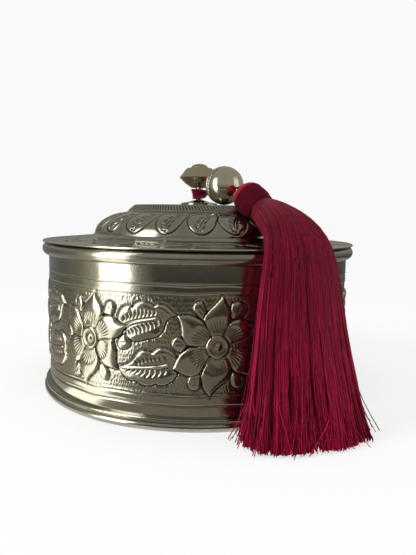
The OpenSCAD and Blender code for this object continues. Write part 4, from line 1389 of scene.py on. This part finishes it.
def flip_if_inside_out(piece):
    """Turns a closed mesh the right way out."""
    mesh = piece.data
    mesh.calc_loop_triangles()
    co = np.empty(len(mesh.vertices) * 3, np.float32)
    mesh.vertices.foreach_get("co", co)
    tri = np.empty(len(mesh.loop_triangles) * 3, np.int32)
    mesh.loop_triangles.foreach_get("vertices", tri)
    a, b, c = co.reshape(-1, 3)[tri.reshape(-1, 3)].astype(float).transpose(1, 0, 2)
    if np.einsum("ij,ij->i", a, np.cross(b, c)).sum() < 0:
        mesh.flip_normals()


# ---------------------------------------------------------------- the skirt

BRIM_TOP_Z = SEAT_Z + BRIM_EDGE
SKIRT_W, SKIRT_T, HEM_W, HEM_T = 19.4, 6.8, 27.4, 15.0
HANG_Z = SEAT_Z - 7.9
HANG_STEPS = 5
LOCKS = 46                            # locks that the threads gather in
STRAND_POINTS = 22
THREAD_GAP = 0.62                     # from the lid and the drum to a thread's middle
PARTS = 5                             # pieces that the skirt is made in


def over_brim(azimuth, half_w, half_t, face, lean):
    """A section of the skirt where it bends over the brim, lean degrees up from level."""
    a = math.radians(lean)
    return (azimuth, BRIM_R + (half_t + SOFT_GAP) * math.cos(a),
            BRIM_TOP_Z + (half_t + SOFT_GAP) * math.sin(a), half_w, half_t, face, lean)


def hanging(share):
    """A section of the skirt where it hangs, from the rim at 0 to the hem at 1."""
    half_t = SKIRT_T + (HEM_T - SKIRT_T) * share ** 1.4
    return (28 - 0.6 * share, ROLL_R + 2 * SOFT_GAP + half_t, HANG_Z + (HEM_Z - HANG_Z) * share,
            SKIRT_W + (HEM_W - SKIRT_W) * share, half_t, 27 - 7 * share, 0)


def skirt_stations():
    """Sections of the skirt: azimuth, distance from the axis, height, half width, half
    thickness, azimuth that the section faces and its lean from level."""
    neck = (HEAD_AT + (HEAD_LEN + 0.05) * direction(HEAD_TURN, HEAD_DIP)
            + 1.1 * direction(HEAD_TURN, HEAD_DIP - 90))
    first = (math.degrees(math.atan2(neck[0], -neck[1])), math.hypot(neck[0], neck[1]), neck[2],
             HEAD_R - 0.6, HEAD_R - 2.3, HEAD_TURN, 90 - HEAD_DIP)
    return np.array([first, (33.2, 58, TOP_Z - 3.4, 10.8, 7.4, 37, 62),
                     (31.6, 68.5, TOP_Z - 7.4, 14.2, 7.2, 34, 66),
                     over_brim(29.8, SKIRT_W - 3.2, SKIRT_T - 0.4, 31, 66),
                     over_brim(29.1, SKIRT_W - 2.2, SKIRT_T - 0.6, 30, 44),
                     over_brim(28.6, SKIRT_W - 1, SKIRT_T - 0.6, 29, 20),
                     *[hanging(i / HANG_STEPS) for i in range(HANG_STEPS + 1)]])


def skirt_frames(samples):
    """Middle, across and outward vectors, scaled to the section, at samples along the skirt."""
    stations = skirt_stations()
    azimuth, face, lean = (np.radians(stations[:, k]) for k in (0, 5, 6))
    middle = np.stack([stations[:, 1] * np.sin(azimuth), -stations[:, 1] * np.cos(azimuth),
                       stations[:, 2]], 1)
    across = np.stack([np.cos(face), np.sin(face), 0 * face], 1) * stations[:, 3:4]
    out = np.stack([np.sin(face) * np.cos(lean), -np.cos(face) * np.cos(lean), np.sin(lean)], 1)
    rows = np.concatenate([middle, across, out * stations[:, 4:5]], 1)
    dense = through(rows, 12)
    reach = np.concatenate([[0], np.cumsum(np.linalg.norm(np.diff(dense[:, :3], axis=0), axis=1))])
    even = samples * reach[-1]
    return [np.stack([np.interp(even, reach, dense[:, 3 * k + j]) for j in range(3)], -1)
            for k in range(3)], reach[-1]


class SWEETBOX_OT_skirt(bpy.types.Operator):
    """Makes the tassel's skirt: thousands of silk threads in loose locks"""

    bl_idname = "sweet_box.skirt"
    bl_label = "Tassel skirt"

    def execute(self, context):
        look = context.scene.sweet_box_tassel
        material = silk("loose_silk", look.silk, look.silk_dark, 0.42, 0.04, 0.03)
        lines, thick, shade, angle = self.strands(look.strands)
        for k in range(PARTS):
            pick = (angle >= k * 2 * math.pi / PARTS) & (angle < (k + 1) * 2 * math.pi / PARTS)
            piece = threads(f"skirt_threads_{k + 1}", lines[pick], thick[pick], shade[pick],
                            look.strand_radius, 3, material)
            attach(piece, "tassel")
            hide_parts("skirt")
        heading = self.heading(material)
        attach(heading, "tassel")
        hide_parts("fringe_heading")
        return {"FINISHED"}

    def strands(self, count):
        """Lines, thickness, shade and angle in the bundle of every thread."""
        rng = np.random.default_rng(42)
        angle, core, spot, lock_spot, owner = self.sorted_into_locks(rng, count)
        short = rng.random(count) ** 3 * 0.03
        samples = np.linspace(0, 1, STRAND_POINTS)[None] ** 1.2
        samples = samples * (1 - short[:, None] - 0.004 * rng.random(count)[:, None])
        (middle, across, out), length = skirt_frames(samples)
        gather = 0.42 * smoothstep(samples, 0.4, 0.95) * (~core)[:, None]
        drift = rng.normal(0, 0.035, (LOCKS, 2))
        where = spot[:, None] + (lock_spot[owner] - spot)[:, None] * gather[..., None]
        where = where + drift[owner][:, None] * smoothstep(samples, 0.3, 1.0)[..., None]
        where = where + self.wander(rng, angle, samples, length)
        flyer = (rng.random(count) < 0.007) & ~core
        fling = np.where(flyer, rng.uniform(0.04, 0.15, count), rng.uniform(0, 0.05, count))
        where *= 1 + fling[:, None, None] * smoothstep(samples, 0.55, 1.0)[..., None] ** 2
        where = self.squared(where)
        lines = self.laid(middle + across * where[..., :1] - out * where[..., 1:])
        thick = (0.62 + 0.38 * smoothstep(samples, 0.0, 0.4)) * rng.uniform(0.7, 1.15, count)[:, None]
        thick = thick * np.where(flyer, 0.6, 1.0)[:, None]
        return lines, thick, self.shades(rng, owner, core, flyer, samples), angle

    def sorted_into_locks(self, rng, count):
        """Each thread's place in the round bundle, a core in the middle, and the lock it is in."""
        angle = rng.uniform(0, 2 * math.pi, count)
        core = rng.random(count) < 0.2
        inner = np.sqrt(rng.uniform(0, 0.6, count))
        outer = 0.94 - 0.16 * rng.random(count) ** 1.5
        layer = np.where(core, inner, outer)
        lock_angle = rng.uniform(0, 2 * math.pi, LOCKS)
        lock_layer = rng.uniform(0.82, 1.0, LOCKS)
        spot = np.stack([layer * np.cos(angle), layer * np.sin(angle)], 1)
        lock_spot = np.stack([lock_layer * np.cos(lock_angle), lock_layer * np.sin(lock_angle)], 1)
        owner = np.argmin(((spot[:, None] - lock_spot[None]) ** 2).sum(-1), 1)
        return angle, core, spot, lock_spot, owner

    def wander(self, rng, angle, samples, length):
        """How far each thread strays, mostly sideways, so that few threads cross near the head."""
        count = len(angle)
        waves = rng.uniform(0, 2 * math.pi, (count, 4))
        slow = samples * length / 34
        swing = rng.normal(0, 1, (count, 2))
        stray = rng.random(count) < 0.06
        amount = (0.008 + 0.07 * samples ** 1.5) * np.where(stray, 3.0, 1.0)[:, None]
        sway = amount * swing[:, :1] * np.sin(2 * math.pi * slow * 0.7 + waves[:, :1])
        ripple = 0.6 * samples * amount * swing[:, 1:]
        ripple = ripple * np.sin(2 * math.pi * slow * 0.9 + waves[:, 1:2])
        outward = np.stack([np.cos(angle), np.sin(angle)], 1)[:, None]
        sideways = np.stack([-np.sin(angle), np.cos(angle)], 1)[:, None]
        return sideways * sway[..., None] + outward * ripple[..., None]

    def squared(self, where):
        """A round bundle filled out a little towards the corners of its section."""
        size = np.linalg.norm(where, axis=-1, keepdims=True)
        unit = where / np.maximum(size, 1e-6)
        return size * np.sign(unit) * np.abs(unit) ** 0.9

    def laid(self, lines):
        """Lines made smooth, as silk falls, clear of the lid and the drum, and no lower than the hem."""
        for _ in range(7):
            lines[:, 1:-1] = (lines[:, :-2] + 2 * lines[:, 1:-1] + lines[:, 2:]) / 4
        lines = clear_lines(lines, THREAD_GAP)
        lines[..., 2] = np.maximum(lines[..., 2], HEM_Z)
        return lines

    def shades(self, rng, owner, core, flyer, samples):
        """Shade of each thread: darker in the core as painted shade inside the bundle, paler towards the
        hem, a tenth of them bright.
        """
        count = len(owner)
        lock_shade = rng.uniform(0.1, 0.7, LOCKS)
        shade = 0.25 * lock_shade[owner] + 0.5 * rng.uniform(0.0, 1.0, count) ** 1.6
        # Core threads are darkened: painted shade inside the bundle.
        shade = shade * np.where(core, 0.4, 1.0) + np.where(rng.random(count) < 0.1, 0.45, 0)
        shade = shade[:, None] * (0.8 + 0.7 * smoothstep(samples, 0.3, 0.9))
        return np.clip(shade + np.where(flyer, 0.5, 0)[:, None], 0, 1)

    def heading(self, material):
        """The rolled heading of the threads in the head's socket."""
        turns, steps = 3.4, 40
        t = np.linspace(0, 1, int(turns * steps))
        a = 2 * math.pi * turns * t
        r = 0.7 + 3.3 * t
        levels = np.linspace(HEAD_LEN - 3.0, HEAD_LEN - 0.4, 5)
        rolls = np.array([np.stack([r * np.sin(a), -r * np.cos(a), level + 0 * t], 1) for level in levels])
        place = placer(HEAD_AT, HEAD_TURN, HEAD_DIP)
        lines = place(rolls.reshape(-1, 3)).reshape(rolls.shape)
        return threads("fringe_heading_rolled", lines, 1.0, 0.3, 0.4 * MM, 4, material)


# ---------------------------------------------------------------- camera, floor and light

FOCAL_PIXELS = 548.9                  # focal length, in pixels of the 416 x 555 picture
PICTURE_H = 555
PITCH, YAW, ROLL = 6.50, 1.056, 1.003  # degrees that the lens looks down, right and tilted
SENSOR = 36.0                         # width of the camera's sensor, in millimetres
HORIZON = 0.947                       # brightness of the backdrop far away

# The room that the metal reflects, as glowing colours at azimuths: a bright painted window on
# the left and a paler one on the right
ROOM = ((-180, (0.22, 0.24, 0.25)), (-122, (0.20, 0.21, 0.21)), (-103, (0.18, 0.18, 0.16)),
        (-81, (0.28, 0.27, 0.22)), (-66, (0.70, 0.67, 0.55)), (-61, (5.0, 4.95, 4.6)),
        (-44, (5.0, 4.95, 4.6)), (-39, (0.40, 0.37, 0.31)), (-26, (0.09, 0.075, 0.06)),
        (0, (0.07, 0.056, 0.04)), (46, (0.03, 0.026, 0.02)), (58, (1.1, 1.07, 1.0)), (82, (1.1, 1.07, 1.0)),
        (94, (0.05, 0.05, 0.045)), (140, (0.12, 0.12, 0.115)), (180, (0.26, 0.28, 0.29)))
ROOM_STRENGTH = 3.0                   # what the room's colours are divided by, and its glow
CEILING = (0.36, 0.35, 0.31)
TABLE = (0.52, 0.46, 0.37)
ROOM_R, ROOM_FOOT_R = 275, 84         # radius of the room's dome, and of the hole in its floor


class SWEETBOX_OT_stage(bpy.types.Operator):
    """Makes the camera, the white floor and world, the lamps and the room that the metal reflects"""

    bl_idname = "sweet_box.stage"
    bl_label = "Stage"

    def execute(self, context):
        look = context.scene.sweet_box_stage
        self.camera(context, look)
        self.world(context, look)
        self.floor(look)
        self.lamps(context)
        self.room()
        context.scene.view_settings.view_transform = "Standard"
        return {"FINISHED"}

    def camera(self, context, look):
        """The camera, placed and turned as it stood before the box."""
        pitch, yaw, roll = (math.radians(a) for a in (PITCH, YAW, ROLL))
        ahead = Vector((math.sin(yaw) * math.cos(pitch), math.cos(yaw) * math.cos(pitch), -math.sin(pitch)))
        right = Vector((math.cos(yaw), -math.sin(yaw), 0))
        up = right.cross(ahead)
        tilted_right = right * math.cos(roll) + up * math.sin(roll)
        tilted_up = up * math.cos(roll) - right * math.sin(roll)
        data = bpy.data.cameras.new("camera")
        data.sensor_fit = "AUTO"
        data.sensor_width = SENSOR
        data.lens = FOCAL_PIXELS * SENSOR / PICTURE_H
        data.clip_start, data.clip_end = 0.01, 50
        camera = bpy.data.objects.new("camera", data)
        turn = Matrix((tilted_right, tilted_up, -ahead)).transposed().to_4x4()
        camera.matrix_world = Matrix.Translation((0, -look.camera_distance, look.camera_height)) @ turn
        context.scene.collection.objects.link(camera)
        context.scene.camera = camera

    def world(self, context, look):
        """A white world: bright where it is seen, dimmer where it lights."""
        world = bpy.data.worlds.new("studio")
        world.use_nodes = True
        tree = world.node_tree
        tree.nodes.clear()
        path = tree.nodes.new("ShaderNodeLightPath")
        seen = math_node(tree, "MAXIMUM", path.outputs["Is Camera Ray"],
                         math_node(tree, "MAXIMUM", path.outputs["Is Glossy Ray"],
                                   path.outputs["Is Transmission Ray"]))
        strength = spread(tree, seen, 0.0, 1.0, 0.36, HORIZON)
        back = add(tree, "ShaderNodeBackground", {"Color": opaque(look.backdrop), "Strength": strength})
        out = tree.nodes.new("ShaderNodeOutputWorld")
        tree.links.new(back.outputs[0], out.inputs["Surface"])
        context.scene.world = world

    def floor(self, look):
        """A round white floor that keeps the shadow near the box and glows further out."""
        material, tree, surface, where = new_material("white_floor")
        tree.nodes.remove(surface)
        reach = add(tree, "ShaderNodeVectorMath", {0: where}, operation="LENGTH").outputs["Value"]
        far = spread(tree, reach, 0.12, 0.5, 0.7, 1.0)
        near_white = add(tree, "ShaderNodeBsdfDiffuse", {"Color": (0.97, 0.97, 0.97, 1)})
        pale = spread(tree, reach, 0.2, 0.5, 1.0, HORIZON)
        glow = add(tree, "ShaderNodeEmission", {"Color": opaque(look.backdrop), "Strength": pale})
        mix = add(tree, "ShaderNodeMixShader", {0: far})
        tree.links.new(near_white.outputs[0], mix.inputs[1])
        tree.links.new(glow.outputs[0], mix.inputs[2])
        tree.links.new(mix.outputs[0], tree.nodes["Material Output"].inputs["Surface"])
        rings, columns = 24, 96
        r = np.concatenate([[0.0], np.geomspace(60, 6000, rings)])
        a = np.arange(columns) * 2 * math.pi / columns
        grid = turned_points(r[1:], np.zeros(rings), a).reshape(-1, 3)
        index = np.arange(rings * columns).reshape(rings, columns)
        quads = np.stack([index[:-1], index[1:], np.roll(index[1:], -1, 1), np.roll(index[:-1], -1, 1)], -1)
        floor = mesh_object("floor", grid, [quads.reshape(-1, 4), index[0][None]])
        floor.data.materials.append(material)

    def lamps(self, context):
        """Soft lamps, each named with its place, size and power."""
        lamps = {
            "window": ((-1.25, -0.62, 0.75), (0.5, 1.0), 13),
            "overhead": ((0.0, -0.1, 1.5), (1.3, 1.3), 10),
            "fill": ((1.3, -0.5, 0.7), (0.8, 0.8), 2),
        }
        aim = Vector((0, 0, 0.05))
        for name, (place, size, power) in lamps.items():
            data = bpy.data.lights.new(name, "AREA")
            data.shape = "RECTANGLE"
            data.size, data.size_y = size
            data.energy = power
            lamp = bpy.data.objects.new(name, data)
            lamp.location = place
            lamp.visible_glossy = False
            lamp.rotation_mode = "QUATERNION"
            lamp.rotation_quaternion = (aim - Vector(place)).to_track_quat("-Z", "Y")
            context.scene.collection.objects.link(lamp)

    def room(self):
        """The dim room that the metal reflects: a glowing shell round the box with painted windows, seen
        only by reflections.
        """
        material, tree, surface, where = new_material("dim_room")
        tree.nodes.remove(surface)
        parts = add(tree, "ShaderNodeSeparateXYZ", {0: where})
        forward = math_node(tree, "MULTIPLY", parts.outputs["Y"], -1.0)
        turn = math_node(tree, "ARCTAN2", parts.outputs["X"], forward)
        ring = tree.nodes.new("ShaderNodeValToRGB")
        stops = ring.color_ramp.elements
        for k, (azimuth, colour) in enumerate(ROOM):
            place = azimuth / 360 + 0.5
            stop = stops[k] if k < 2 else stops.new(place)
            stop.position = place
            stop.color = opaque([c / ROOM_STRENGTH for c in colour])
        link(tree, spread(tree, turn, -math.pi, math.pi), ring.inputs[0])
        height = math_node(tree, "DIVIDE", parts.outputs["Z"], ROOM_R * MM)
        table = opaque([c / ROOM_STRENGTH for c in TABLE])
        low = mixed(tree, spread(tree, height, 0.0, 0.05, 0.45, 1.0), table, ring.outputs[0])
        ceiling = opaque([c / ROOM_STRENGTH for c in CEILING])
        lit = mixed(tree, spread(tree, height, 0.05, 0.5), opaque((0, 0, 0)), ceiling)
        walls = mixed(tree, 1.0, low, lit, "LIGHTEN")
        above = mixed(tree, spread(tree, height, 0.66, 0.84), walls, ceiling)
        glow = add(tree, "ShaderNodeEmission", {"Color": above, "Strength": ROOM_STRENGTH})
        tree.links.new(glow.outputs[0], tree.nodes["Material Output"].inputs["Surface"])
        turn = np.radians(np.linspace(0, 89.9, 30))
        r = np.concatenate([[ROOM_FOOT_R], ROOM_R * np.cos(turn)])
        z = np.concatenate([[0.3], ROOM_R * np.sin(turn) + 0.3])
        a = np.linspace(0, 2 * math.pi, 120, endpoint=False)
        grid = turned_points(r, z, a)
        index = np.arange(grid.shape[0] * grid.shape[1]).reshape(grid.shape[:2])
        right = np.roll(index, -1, 1)
        quads = np.stack([index[:-1], index[1:], right[1:], right[:-1]], -1)
        room = mesh_object("dim_room", grid.reshape(-1, 3), [quads.reshape(-1, 4)])
        room.data.materials.append(material)
        room.visible_camera = room.visible_diffuse = room.visible_shadow = False
        room.visible_transmission = False


# ---------------------------------------------------------------- add-on

MAKERS = ("stage", "wall", "lid", "fittings", "bead", "cord", "head", "skirt")


class SWEETBOX_PT_panel(bpy.types.Panel):
    """Sizes, colours and makers of the sweet box"""

    bl_idname = "SWEETBOX_PT_panel"
    bl_label = "Sweet box"
    bl_space_type = "VIEW_3D"
    bl_region_type = "UI"
    bl_category = "Sweet box"

    def draw(self, context):
        column = self.layout.column()
        for settings in (context.scene.sweet_box_metal, context.scene.sweet_box_tassel,
                         context.scene.sweet_box_stage):
            for name in settings.bl_rna.properties.keys():
                if name not in ("rna_type", "name"):
                    column.prop(settings, name)
        for maker in MAKERS:
            column.operator(f"sweet_box.{maker}")


CLASSES = (SweetBoxMetal, SweetBoxTassel, SweetBoxStage, SWEETBOX_OT_stage, SWEETBOX_OT_wall,
           SWEETBOX_OT_lid, SWEETBOX_OT_fittings, SWEETBOX_OT_bead, SWEETBOX_OT_cord, SWEETBOX_OT_head,
           SWEETBOX_OT_skirt, SWEETBOX_PT_panel)


def register():
    for cls in CLASSES:
        bpy.utils.register_class(cls)
    scene = bpy.types.Scene
    scene.sweet_box_metal = bpy.props.PointerProperty(type=SweetBoxMetal)
    scene.sweet_box_tassel = bpy.props.PointerProperty(type=SweetBoxTassel)
    scene.sweet_box_stage = bpy.props.PointerProperty(type=SweetBoxStage)


def unregister():
    del bpy.types.Scene.sweet_box_stage
    del bpy.types.Scene.sweet_box_tassel
    del bpy.types.Scene.sweet_box_metal
    for cls in reversed(CLASSES):
        bpy.utils.unregister_class(cls)


def main():
    register()
    for maker in MAKERS:
        getattr(bpy.ops.sweet_box, maker)()


if __name__ == "__main__":
    main()
